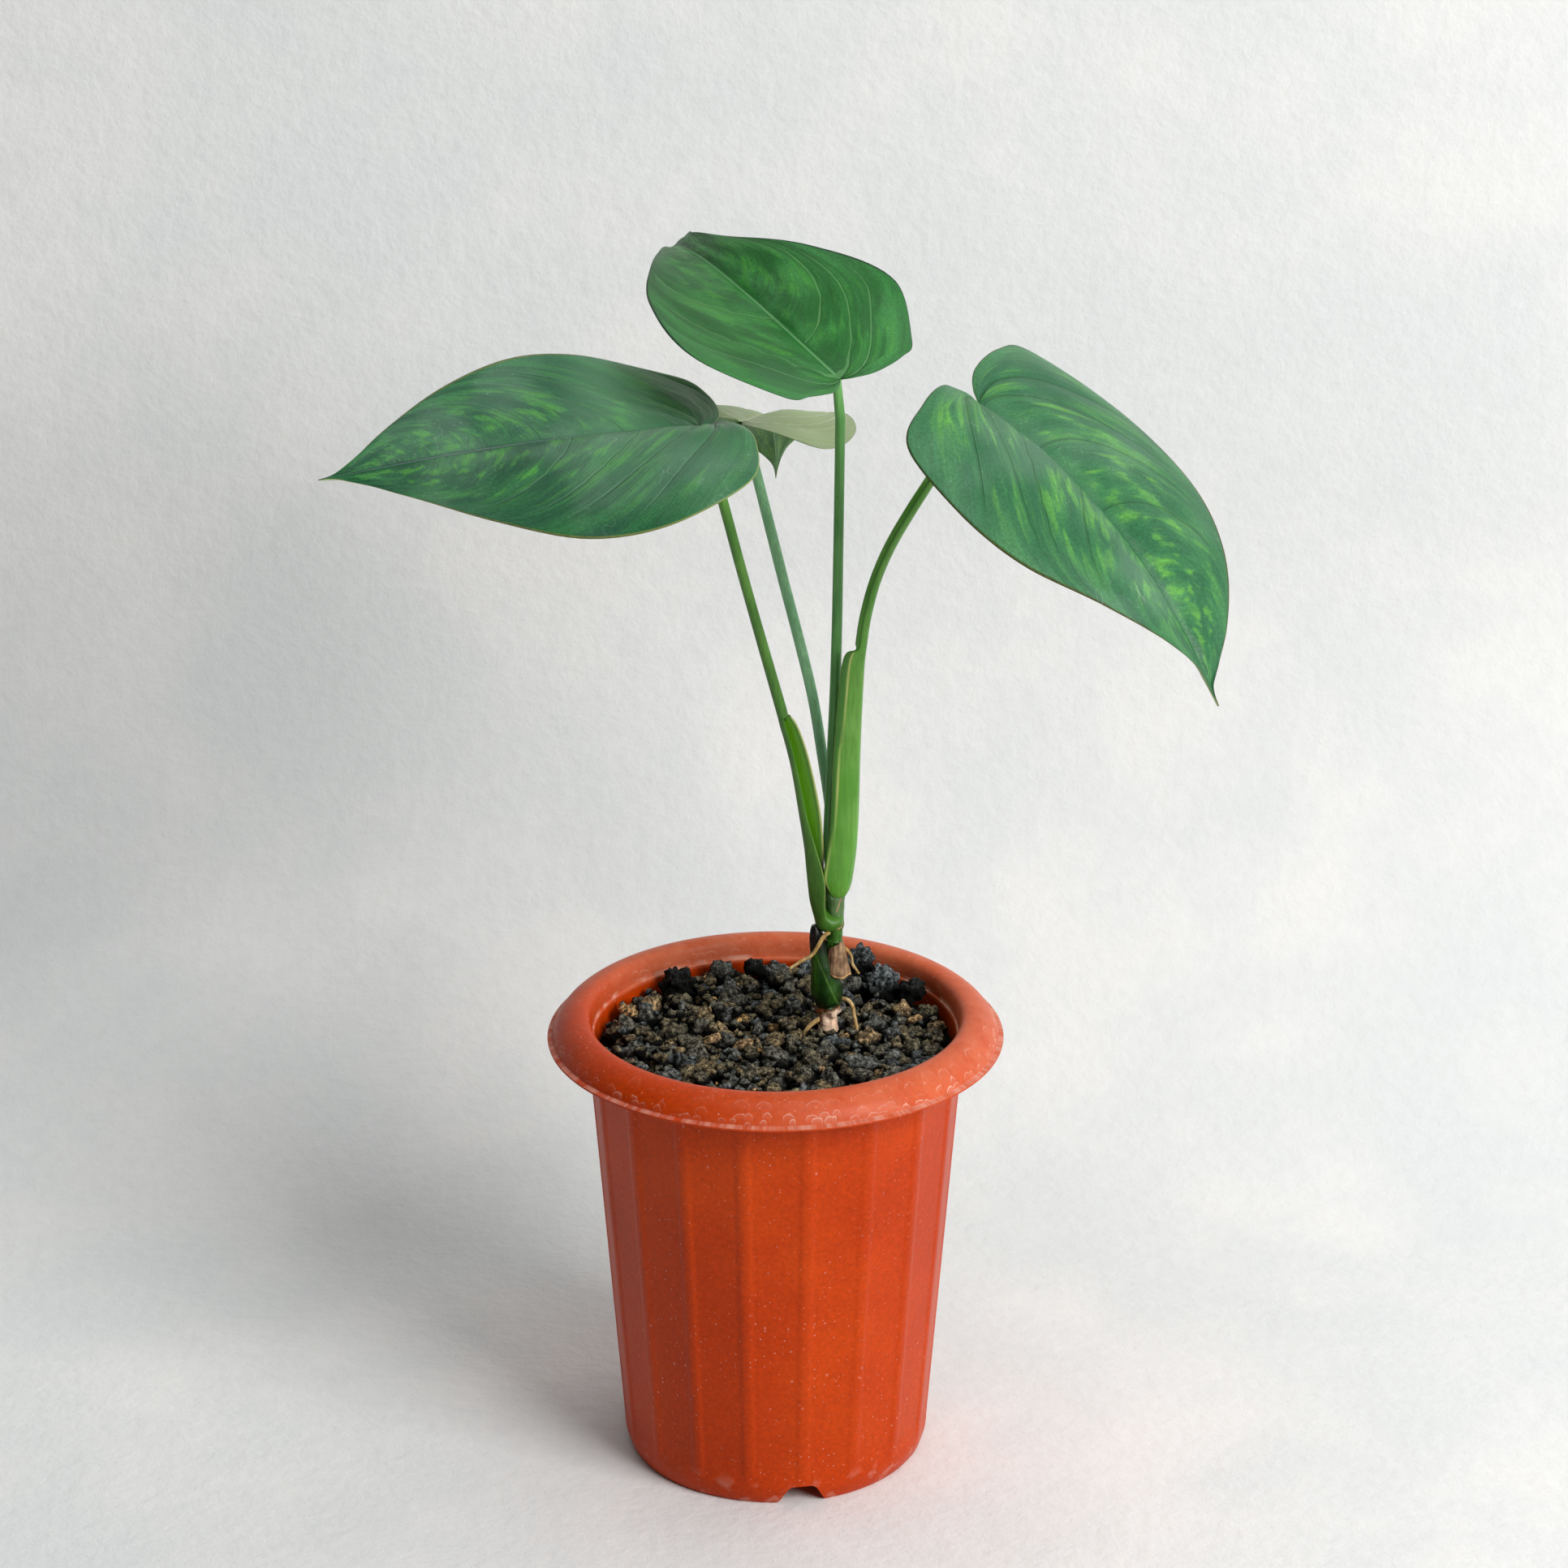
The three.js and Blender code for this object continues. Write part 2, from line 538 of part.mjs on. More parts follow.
// A section grown for clearance has its open side filled.
function stalkSection(radius, open, nearWing, farWing, grown) {
  const outside = radius + grown;
  const section = [];
  for (let i = 0; i < stalkOuter; i += 1) section.push(outerPoint(outside, i, nearWing, farWing));
  for (let i = 1; i <= stalkInner; i += 1) {
    const turn = mix(-stalkOpening, stalkOpening, i / (stalkInner + 1));
    const shut = new THREE.Vector2(outside * Math.cos(turn), outside * Math.sin(turn));
    section.push(shut.lerp(troughPoint(radius, i, nearWing, farWing), grown > 0 ? 0 : open));
  }
  return section;
}

function petioleBody({ opens, stations }, grown = 0) {
  const route = stations.map(([place]) => point(place));
  const mirrored = opens[0] < 0; // the near wing then lies at the section's positive second axis
  const sections = stations.map(([, radius, open, near, far]) => (
    mirrored ? stalkSection(radius, open, far, near, grown) : stalkSection(radius, open, near, far, grown)
  ));
  if (grown > 0) {
    route[0].z -= grown;
    route.at(-1).z += grown;
  }
  return sweep(route, sections, point(opens));
}

// A slab laid just under a blade at its joint, so that the stalk ends parallel to it.
function jointTool(pose) {
  const { side, normal, along } = bladeSpine(pose).frame(0);
  const depth = 30;
  const width = 40;
  const slab = new THREE.BoxGeometry(width, width, depth);
  const drop = bladeBuild.groove + bladeBuild.thickness + bladeBuild.keel + clearance;
  const middle = point(pose.joint).addScaledVector(normal, depth / 2 - drop);
  slab.applyMatrix4(new THREE.Matrix4().makeBasis(along, side, normal));
  return slab.translate(middle.x, middle.y, middle.z);
}

// Blades: thin, heart-shaped and quilted between their side veins, with a keel under the midrib

function bladeSpine({ joint, length, pitch, droop, heading, roll }) {
  const steps = 60;
  const direction = (u) => {
    const rise = radians(pitch[0] + (pitch[1] - pitch[0]) * u ** droop);
    const turn = radians(mix(heading[0], heading[1], u));
    const level = new THREE.Vector3(Math.cos(turn), Math.sin(turn), 0);
    return level.multiplyScalar(Math.cos(rise)).setZ(Math.sin(rise));
  };
  const places = [point(joint)];
  for (let i = 0; i < steps; i += 1) {
    places.push(places[i].clone().addScaledVector(direction((i + 0.5) / steps), length / steps));
  }
  const place = (u) => {
    const at = THREE.MathUtils.clamp(u, 0, 1) * steps;
    const low = Math.min(Math.floor(at), steps - 1);
    const before = Math.min(u, 0) * length; // a lobe reaches back past the joint
    return places[low].clone().lerp(places[low + 1], at - low).addScaledVector(direction(0), before);
  };
  const frame = (u) => {
    const at = THREE.MathUtils.clamp(u, 0, 1);
    const along = direction(at);
    const turn = radians(mix(heading[0], heading[1], at));
    const lean = radians(mix(roll[0], roll[1], at));
    const level = new THREE.Vector3(-Math.sin(turn), Math.cos(turn), 0);
    const up = along.clone().cross(level).normalize();
    const side = level.clone().multiplyScalar(Math.cos(lean)).addScaledVector(up, Math.sin(lean));
    const normal = up.clone().multiplyScalar(Math.cos(lean)).addScaledVector(level, -Math.sin(lean));
    return { along, side, normal };
  };
  return { place, frame };
}

// The blade's middle surface: u along the midrib and v across it, in midrib lengths, v to the left.
function bladeSurface(pose) {
  const spine = bladeSpine(pose);
  return (u, v) => {
    const { side, normal } = spine.frame(u);
    const half = v > 0 ? 0 : 1;
    const rise = pose.fold[half] * Math.abs(v) - pose.curl[half] * v * v;
    return spine.place(u).addScaledVector(side, v * pose.length).addScaledVector(normal, rise * pose.length);
  };
}

// Half of the heart-shaped outline, from the notch at the joint round the lobe to the drip tip.
function halfOutline({ half, lobe, place, middle, shoulder = [0.9, 0.9], tip = [1, 1] }, side) {
  const w = half[side];
  const b = lobe[side];
  const p = place[side];
  const m = middle[side];
  const full = tip[side];
  return new THREE.SplineCurve([
    [0, 0], [-0.5 * b, 0.08 * w], [-0.97 * b, 0.28 * w], [-0.95 * b, 0.6 * w],
    [-0.35 * b, shoulder[side] * w], [0.16 + p, w], [0.4 + p, 0.44 * w * (1 + m)],
    [0.62 + 0.7 * p, 0.6 * w * m], [0.8 + 0.4 * p, 0.3 * w * m * (0.7 + 0.3 * full)],
    [0.89, 0.12 * w * full], [0.95, 0.025 * w * full], [1, 0],
  ].map(([u, v]) => new THREE.Vector2(u, v)));
}

// Where the side vein that reaches the margin here leaves the midrib.
function veinFoot(pose, s) {
  const left = halfOutline(pose, 0).getPoint(s);
  const right = halfOutline(pose, 1).getPoint(s);
  return Math.max(0, (left.x + right.x) / 2 - 0.375 * (left.y + right.y));
}

// Bulges between the side veins, and the groove along the midrib.
function bladeRelief(s, t, acrossWidth) {
  const { laterals, firstVein, quilt, groove, keelWidth } = bladeBuild;
  const turns = s > firstVein ? ((s - firstVein) / (1 - firstVein)) * laterals : s / firstVein / 2;
  const bulge = 0.5 - 0.5 * Math.cos(2 * Math.PI * turns);
  const fade = 4 * t * (1 - t) * Math.min(1, 6 * (1 - s));
  return quilt * bulge * fade - groove * Math.exp(-((acrossWidth / keelWidth) ** 2));
}

// The ring's columns from the left margin over the midrib to the right margin.
function bladeColumns(pose, s) {
  const foot = veinFoot(pose, s);
  const half = (side, sign) => bladeBuild.across.map((t) => {
    const edge = halfOutline(pose, side).getPoint(s);
    return {
      u: foot + (edge.x - foot) * (0.7 * t + 0.3 * t * t),
      v: sign * edge.y * (1.2 * t - 0.2 * t * t),
      t,
    };
  });
  return [...half(0, 1), { u: foot, v: 0, t: 0 }, ...half(1, -1).reverse()];
}

function bladeNormal(surface, u, v) {
  const step = 0.004;
  const sideStep = v === 0 ? step : step / 4; // the fold lies at the midrib, so it is spanned evenly there
  const along = surface(u + step, v).sub(surface(u - step, v));
  return along.cross(surface(u, v + sideStep).sub(surface(u, v - sideStep))).normalize();
}

function bladeRing(pose, surface, s) {
  const { thickness, keel, keelWidth } = bladeBuild;
  const faces = bladeColumns(pose, s).map(({ u, v, t }) => {
    const place = surface(u, v);
    const normal = bladeNormal(surface, u, v);
    const width = Math.abs(v) * pose.length;
    const relief = bladeRelief(s, t, width) * Math.min(1, 8 * (1 - s));
    const rib = keel * Math.exp(-((width / keelWidth) ** 2)) * (1 - 0.85 * Math.max(u, 0)) * (1 - t);
    return {
      top: place.clone().addScaledVector(normal, relief),
      bottom: place.clone().addScaledVector(normal, relief - thickness - rib),
    };
  });
  return [...faces.map((face) => face.top), ...faces.map((face) => face.bottom).reverse()];
}

function bladeBody(pose) {
  const surface = bladeSurface(pose);
  const rings = [];
  for (let i = 0; i <= bladeBuild.rows; i += 1) rings.push(bladeRing(pose, surface, i / bladeBuild.rows));
  const columns = 2 * bladeBuild.across.length + 1;
  return skin(rings, { flipped: (j) => j >= columns });
}

// Husk: a dead papery scale that clasps the stem's right side

function huskPoint(s, t, thickness) {
  const turn = radians(mix(husk.turn[0], husk.turn[1], 0.5 + (t - 0.5) * (1 - husk.narrowing * s)));
  const z = mix(husk.bottom + husk.rise * (1 - t) ** 2, husk.top - husk.fall * (1 - t), s);
  const radius = husk.radius + husk.flare * (1 - s) * t - husk.draw * s - thickness;
  const [x, y] = husk.centre;
  return new THREE.Vector3(x + radius * Math.cos(turn), y + radius * Math.sin(turn), z);
}

function huskBody() {
  const rings = [];
  for (let i = 0; i <= husk.rows; i += 1) {
    const across = Array.from({ length: husk.columns + 1 }, (_, j) => j / husk.columns);
    const outer = across.map((t) => huskPoint(i / husk.rows, t, 0));
    const inner = across.map((t) => huskPoint(i / husk.rows, t, husk.thickness));
    rings.push([...outer, ...inner.reverse()]);
  }
  const last = husk.columns + 1;
  const strip = [];
  for (let j = 0; j < husk.columns; j += 1) {
    const [a, b, c, d] = [j, j + 1, 2 * last - 2 - j, 2 * last - 1 - j];
    strip.push([a, b, c], [a, c, d]);
  }
  return skin(rings, { startCap: strip, endCap: strip, flipped: (j) => j >= last });
}

// Old sheath and roots

function oldSheathBody(grown = 0) {
  const route = oldSheath.rings.map(([place]) => point(place));
  const sections = oldSheath.rings.map(([, a, b]) => oval(oldSheath.sides, a + grown, b + grown));
  return sweep(route, sections, new THREE.Vector3(1, 0, 0));
}

function rootBody({ points, radius }, grown = 0) {
  const curve = new THREE.CatmullRomCurve3(points.map(point));
  const steps = 2 * (points.length - 1);
  const route = curve.getPoints(steps);
  const sections = route.map((_, i) => oval(6, mix(radius[0], radius[1], i / steps) + grown));
  if (grown > 0) route[steps].z -= 2 * grown;
  return sweep(route, sections, new THREE.Vector3(0, 1, 0.2));
}

// Assembly

function assemble() {
  const stemRoom = stemBody(clearance);
  const room = {};
  Object.entries(petioles).forEach(([name, stalk]) => { room[name] = petioleBody(stalk, clearance); });
  const rootRoom = (name) => rootBody(roots[name], clearance);
  const stalks = {
    left: cutBy(petioleBody(petioles.left), [stemRoom, room.centre, jointTool(blades.left)]),
    back: cutBy(petioleBody(petioles.back), [room.centre, jointTool(blades.back)]),
    centre: cutBy(petioleBody(petioles.centre), [jointTool(blades.top)]),
    right: cutBy(
      petioleBody(petioles.right),
      [stemRoom, room.left, room.centre, room.back, jointTool(blades.right)],
    ),
  };
  const sheath = cutBy(oldSheathBody(), [stemRoom, room.left]);
  const sheathRoom = oldSheathBody(clearance);
  const scale = cutBy(huskBody(), [stemRoom, sheathRoom, room.left]);

  const plant = new THREE.Group();
  plant.add(makePot());
  plant.add(makeSoil([stemRoom, rootRoom("root_low"), rootRoom("root_foot")]));
  plant.add(piece("stem", stemBody(0), "stem"));
  Object.entries(stalks).forEach(([name, body]) => plant.add(piece(`petiole_${name}`, body, "petiole")));
  Object.entries(blades).forEach(([name, pose]) => {
    plant.add(piece(`leaf_${name}`, bladeBody(pose), "blade"));
  });
  plant.add(piece("old_sheath", sheath, "stem"));
  plant.add(piece("husk", scale, "papery"));
  Object.entries(roots).forEach(([name, root]) => {
    const body = cutBy(rootBody(root), [stemRoom, sheathRoom, room.left]);
    plant.add(piece(name, body, "root"));
  });
  plant.position.set(-originX, -originY, 0);
  return plant;
}

export default assemble();
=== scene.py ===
import math
import random
import bpy
from mathutils import Matrix, Vector, noise


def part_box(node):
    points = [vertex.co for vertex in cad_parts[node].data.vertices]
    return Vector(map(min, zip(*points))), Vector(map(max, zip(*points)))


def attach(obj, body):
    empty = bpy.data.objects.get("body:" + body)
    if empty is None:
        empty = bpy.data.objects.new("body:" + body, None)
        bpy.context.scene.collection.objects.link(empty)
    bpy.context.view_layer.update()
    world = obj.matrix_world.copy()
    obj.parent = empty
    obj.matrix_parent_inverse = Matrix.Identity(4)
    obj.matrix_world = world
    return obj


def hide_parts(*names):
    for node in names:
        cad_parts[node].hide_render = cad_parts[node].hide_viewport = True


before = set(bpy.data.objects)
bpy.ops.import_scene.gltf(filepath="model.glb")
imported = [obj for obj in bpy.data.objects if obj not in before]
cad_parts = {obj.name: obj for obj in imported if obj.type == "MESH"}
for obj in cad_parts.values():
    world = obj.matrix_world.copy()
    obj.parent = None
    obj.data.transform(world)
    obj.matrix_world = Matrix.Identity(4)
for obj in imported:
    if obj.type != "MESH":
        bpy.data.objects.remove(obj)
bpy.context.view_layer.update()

# The pot is one thin shell of terracotta-coloured plastic, moulded in one shot: a hollow rolled rim over
# a thin lip, eighteen flat panels between raised ribs, a raised floor with round drains, and three
# notches in the foot ring. Hard water has left pale scallops on the rim and specks on the panels.

mm = 0.001
pot_low, pot_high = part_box("pot")
axis = Vector(((pot_low[0] + pot_high[0]) / 2, (pot_low[1] + pot_high[1]) / 2, 0))

panels = 18
panel_depth = 0.9823
flat_turn, rib_turn = 6.7, 0.8
foot_inner = 47.2
foot_ring = [(48.5, 0), (49.6, 1.4), (50.3, 3.6), (50.9, 5.6), (51.1, 7.3)]
wall_outside = [(51.1, 7.3), (62.1, 147.6)]
rim_hollow = [(62.1, 148.4), (62.3, 152.6), (63.6, 154.9), (66, 154.9), (68.6, 153.2), (70.8, 150.8), (71.9, 148.2)]
lip_edge = [(74.4, 147.9), (74.9, 148.05), (75, 148.4), (74.9, 148.75), (74.4, 148.95)]
rim_roll = [
    (73.4, 149.2), (72.9, 150.6), (72.2, 151.9), (71, 153.5), (69.4, 154.9), (67.9, 155.8), (66.3, 156.4),
    (64.5, 156.7), (62.7, 156.5), (61.4, 155.6), (60.7, 154.2), (60.3, 152.2), (60.2, 150.2),
]
ledge = [(60.1, 149.75), (59.8, 149.6), (59.6, 149.3), (59.5, 148.8)]
floor_top, floor_under = 10, 8
wall_slope = 0.0782
wall_rows = 36
rim_reach = 0.0735
scallop_rows = [(0.1491, 215, 1.0, 0), (0.1508, 170, 0.6, 0.31), (0.1538, 130, 0.25, 0.57)]


def colour(red, green, blue):
    """A screen colour from 0 to 255, as the shader reads it."""
    linear = [(c / 255 / 12.92 if c <= 10 else ((c / 255 + 0.055) / 1.055) ** 2.4) for c in (red, green, blue)]
    return (*linear, 1)


def curved(points, steps):
    """Points along a smooth curve through the given ones, each a tuple of numbers."""
    result = []
    last = len(points) - 1
    for i in range(last):
        before, start, end, after = points[max(i - 1, 0)], points[i], points[i + 1], points[min(i + 2, last)]
        for k in range(steps):
            w = k / steps
            result.append(tuple(
                b + 0.5 * w * (c - a + w * (2 * a - 5 * b + 4 * c - d + w * (3 * (b - c) + d - a)))
                for a, b, c, d in zip(before, start, end, after)))
    result.append(tuple(points[-1]))
    return result


def edit(*steps):
    """Runs edit-mode operators one after another on the active object, all of it selected first."""
    bpy.ops.object.mode_set(mode="EDIT")
    bpy.ops.mesh.select_all(action="SELECT")
    for step in steps:
        step()
    bpy.ops.object.mode_set(mode="OBJECT")


def fresh(add_mesh, **sizes):
    """A new basic mesh, with nothing else selected."""
    bpy.ops.object.select_all(action="DESELECT")
    add_mesh(**sizes)
    return bpy.context.object


def lattice(name, columns, rows, place, picture=None, marks=None, capped=False, folded=False):
    """A grid whose corners go to place(column, row), in millimetres from the pot's axis, joined where they meet."""
    piece = fresh(bpy.ops.mesh.primitive_grid_add, x_subdivisions=columns, y_subdivisions=rows, size=2)
    piece.name = piece.data.name = name
    cells = [(round((c.co.x + 1) / 2 * columns), round((c.co.y + 1) / 2 * rows)) for c in piece.data.vertices]
    for corner, (column, row) in zip(piece.data.vertices, cells):
        corner.co = axis + mm * Vector(place(column, row))
    if picture:
        for loop, spot in zip(piece.data.loops, piece.data.uv_layers.active.data):
            spot.uv = picture(*cells[loop.vertex_index])
    for key, value in (marks or {}).items():
        mark = piece.data.attributes.new(key, "FLOAT", "POINT")
        mark.data.foreach_set("value", [value(column, row) for column, row in cells])
    edit(
        lambda: bpy.ops.mesh.remove_doubles(threshold=1e-6),
        lambda: bpy.ops.mesh.fill_holes(sides=0) if capped else None,
        lambda: bpy.ops.mesh.select_all(action="SELECT"),
        lambda: None if folded else bpy.ops.mesh.normals_make_consistent(inside=False),
    )
    if folded and sum(face.center.dot(face.normal) * face.area for face in piece.data.polygons) < 0:
        edit(lambda: bpy.ops.mesh.flip_normals())
    bpy.ops.object.shade_smooth()
    return piece


def add(kind, inputs=(), tree=None, **settings):
    """Adds a node to the given tree, or to the one its links come from, and sets or links its inputs."""
    inputs = dict(inputs)
    links = [key for key, value in inputs.items() if isinstance(value, bpy.types.NodeSocket)]
    tree = tree or inputs[links[0]].id_data
    made = tree.nodes.new(kind)
    for key, value in settings.items():
        setattr(made, key, value)
    for key, value in inputs.items():
        socket = made.inputs[key]
        if key in links:
            tree.links.new(value, socket)
        else:
            socket.default_value = colour(*value) if socket.type == "RGBA" else value
    return made


def ramp(factor, *stops):
    made = add("ShaderNodeValToRGB", {"Fac": factor})
    elements = made.color_ramp.elements
    elements[0].position, elements[1].position = stops[0][0], stops[-1][0]
    for position, _ in stops[1:-1]:
        elements.new(position)
    for element, (_, tint) in zip(elements, stops):
        element.color = colour(*tint) if isinstance(tint, tuple) else (tint, tint, tint, 1)
    return made.outputs["Color"]


def mixed(factor, first, second, how="MIX"):
    return add("ShaderNodeMix", {0: factor, 6: first, 7: second}, data_type="RGBA", blend_type=how).outputs[2]


def shaded(tint, shade):
    return mixed(1.0, tint, shade, "MULTIPLY")


def calc(operation, first, second=0.0, clamped=False):
    return add("ShaderNodeMath", {0: first, 1: second}, operation=operation, use_clamp=clamped).outputs[0]


def chained(operation):
    """A function that takes one operation through all the values it is given."""
    def chain(result, *others):
        for other in others:
            result = calc(operation, result, other)
        return result
    return chain


product, total, less, most = (chained(operation) for operation in ("MULTIPLY", "ADD", "SUBTRACT", "MAXIMUM"))


def apart(first, second):
    return calc("ABSOLUTE", less(first, second))


def between(value, low, high, start=0.0, end=1.0, bend="SMOOTHSTEP"):
    """Goes from start to end, without a jump, as the value goes from low to high."""
    return add("ShaderNodeMapRange", {
        "Value": value, "From Min": low, "From Max": high, "To Min": start, "To Max": end,
    }, interpolation_type=bend).outputs["Result"]


def grain(spot, scale, detail=3.0, roughness=0.5, warp=0.0):
    return add("ShaderNodeTexNoise", {
        "Vector": spot, "Scale": scale, "Detail": detail, "Roughness": roughness, "Distortion": warp,
    }).outputs["Fac"]


def parts_of(vector):
    return add("ShaderNodeSeparateXYZ", {"Vector": vector}).outputs


def joined(x, y, z=0.0):
    return add("ShaderNodeCombineXYZ", {"X": x, "Y": y, "Z": z}).outputs["Vector"]


def new_material(name, shows, *pieces):
    """Puts a new material on the pieces, and gives its shader and the places on the piece."""
    material = bpy.data.materials.new(name)
    material.use_nodes = True
    material.diffuse_color = colour(*shows)
    for piece in pieces:
        piece.data.materials.append(material)
    shader = material.node_tree.nodes["Principled BSDF"]
    return shader, add("ShaderNodeTexCoord", tree=material.node_tree).outputs["Object"]


def painted(spot, key):
    """The values that one of the piece's attributes holds."""
    return add("ShaderNodeAttribute", tree=spot.id_data, attribute_name=key).outputs["Fac"]


def dress(shader, tint, roughness, heights, coat=0.0, gloss=0.5):
    """Joins colour and roughness to the shader, and stacks the heights, each with its depth in metres, as bumps."""
    link = shader.id_data.links.new
    link(tint, shader.inputs["Base Color"])
    if isinstance(roughness, bpy.types.NodeSocket):
        link(roughness, shader.inputs["Roughness"])
    else:
        shader.inputs["Roughness"].default_value = roughness
    shader.inputs["Specular IOR Level"].default_value = gloss
    shader.inputs["Coat Weight"].default_value = coat
    shader.inputs["Coat Roughness"].default_value = 0.25
    normal = {}
    for height, depth in heights:
        bump = add("ShaderNodeBump", {"Height": height, "Strength": 1.0, "Distance": depth, **normal})
        normal = {"Normal": bump.outputs["Normal"]}
    link(normal["Normal"], shader.inputs["Normal"])


def new_group(name, gets, gives):
    """An empty node group with its inputs' usual values: None stands for a place and () for a colour."""
    group = bpy.data.node_groups.new(name, "ShaderNodeTree")
    for way, sockets in (("INPUT", gets), ("OUTPUT", gives)):
        for key, value in sockets.items():
            kind = {None: "Vector", (): "Color"}.get(value, "Float")
            socket = group.interface.new_socket(key, in_out=way, socket_type="NodeSocket" + kind)
            if kind == "Float":
                socket.default_value = value
    return group, add("NodeGroupInput", tree=group).outputs


def placed(group, **values):
    return add("ShaderNodeGroup", values, node_tree=group).outputs


specks, got = new_group("specks", dict(Vector=None, Scale=300.0, Size=0.2, Share=0.3), dict(Mask=0.0))
cells = add("ShaderNodeTexVoronoi", {"Vector": got["Vector"], "Scale": got["Scale"]}).outputs
lot = add("ShaderNodeSeparateColor", {"Color": cells["Color"]}).outputs["Red"]
near = less(product(got["Size"], lot), cells["Distance"])
drawn = calc("GREATER_THAN", lot, less(1.0, got["Share"]))
add("NodeGroupOutput", {"Mask": product(calc("MULTIPLY", near, 12.0, clamped=True), drawn)})


def speckled(spot, scale, size, share):
    return placed(specks, Vector=spot, Scale=scale, Size=size, Share=share)["Mask"]


scallops, got = new_group(
    "lime_scallops", dict(Along=0.0, Height=0.0, Level=0.15, Scale=230.0), dict(Line=0.0, Film=0.0))
cells = add("ShaderNodeTexVoronoi", {"W": got["Along"], "Scale": got["Scale"]}, voronoi_dimensions="1D").outputs
lots = add("ShaderNodeSeparateColor", {"Color": cells["Color"]}).outputs
share = calc("DIVIDE", cells["Distance"], total(product(lots["Red"], 0.26), 0.2))
arch = calc("SQRT", calc("SUBTRACT", 1.0, product(share, share), clamped=True))
swell = total(product(lots["Green"], 0.0014), 0.0006)
crest = total(product(arch, swell), total(got["Level"], product(lots["Blue"], 0.0009)))
off = less(got["Height"], crest)
inside = between(arch, 0.02, 0.3)
kept = between(lots["Green"], 0.12, 0.4)
add("NodeGroupOutput", {
    "Line": product(between(calc("ABSOLUTE", off), 0.00026, 0.00007), inside, kept),
    "Film": product(between(off, 0.0, -0.0002), between(off, -0.002, -0.0006), inside, kept),
})


def wall_inside(z):
    top_r, top_z = ledge[-1]
    return top_r - wall_slope * (top_z - z)


def pot_profile():
    outline = [(0, floor_under), (20, floor_under), (foot_inner - 1.2, floor_under), (foot_inner - 0.5, 7.4)]
    outline += [(foot_inner, 0.5), (foot_inner + 0.4, 0), *foot_ring]
    (low_r, low_z), (high_r, high_z) = wall_outside
    shares = [k / wall_rows for k in range(1, wall_rows + 1)]
    outline += [(low_r + (high_r - low_r) * share, low_z + (high_z - low_z) * share) for share in shares]
    outline += curved(rim_hollow, 3) + [(71.95, 147.9), (73.2, 147.85)] + lip_edge
    outline += curved(rim_roll, 2) + ledge
    outline += [(wall_inside(z), z) for z in range(144, 12, -6)]
    outline += [(wall_inside(11.4), 11.4), (wall_inside(10) - 1.2, floor_top), (20, floor_top), (0, floor_top)]
    return outline


def panel_share(turn):
    """How far the wall stands out at this angle, as a share of the ribs' radius."""
    pitch = 360 / panels
    off = abs((turn + pitch / 2) % pitch - pitch / 2)
    if off >= pitch / 2 - rib_turn:
        return 1
    if off <= flat_turn:
        return panel_depth / math.cos(math.radians(off))
    edge = panel_depth / math.cos(math.radians(flat_turn))
    w = (off - flat_turn) / (pitch / 2 - rib_turn - flat_turn)
    return edge + (1 - edge) * w * w * (3 - 2 * w)


pot_outline = pot_profile()
panel_turns = [0, 1.2, 1.8, 2.4, 3, 3.7, 5, 7.5, 10, 12.5, 15, 16.3, 17, 17.6, 18.2, 18.8]
pot_columns = panels * len(panel_turns)


def pot_corner(column, row):
    r, z = pot_outline[row]
    turn = 360 / panels * (column // len(panel_turns)) + 10 + panel_turns[column % len(panel_turns)]
    wall_foot = len(foot_ring) + 6
    if wall_foot <= row < wall_foot + wall_rows:
        fade = min(max((z - wall_outside[0][1]) / 4, 0), 1)
        r *= 1 + (panel_share(turn) - 1) * fade * fade * (3 - 2 * fade)
    return r * math.sin(math.radians(turn)), -r * math.cos(math.radians(turn)), z


pot = lattice("pot_shell", pot_columns, len(pot_outline) - 1, pot_corner)


def cutter(turn):
    """The slot that one foot notch leaves: wide at the foot, with rounded upper corners."""
    tool = fresh(bpy.ops.mesh.primitive_cube_add, size=1)
    tool.data.transform(Matrix.Translation((0, 0, 0.5)))
    for corner in tool.data.vertices:
        width = 8.6 if corner.co.z > 0.5 else 16.6
        corner.co = Vector((corner.co.x * width, corner.co.y * 12 - foot_inner - 2, corner.co.z * 7.5 - 0.5))
    for element in [*tool.data.vertices, *tool.data.edges, *tool.data.polygons]:
        element.select = False
    for rim in tool.data.edges:
        start, end = (tool.data.vertices[v].co for v in rim.vertices)
        rim.select = min(start.z, end.z) > 6 and abs(start.x - end.x) < 0.1
    bpy.ops.object.mode_set(mode="EDIT")
    bpy.ops.mesh.select_mode(type="EDGE")
    bpy.ops.mesh.bevel(offset=1.6, segments=5)
    bpy.ops.object.mode_set(mode="OBJECT")
    tool.data.transform(Matrix.Translation(axis) @ Matrix.Scale(mm, 4) @ Matrix.Rotation(math.radians(turn), 4, "Z"))
    return tool


def drain(radius, x, y):
    tool = fresh(bpy.ops.mesh.primitive_cylinder_add, vertices=36, radius=radius * mm, depth=6 * mm)
    tool.data.transform(Matrix.Translation(axis + mm * Vector((x, y, 9))))
    tool.location = (0, 0, 0)
    return tool


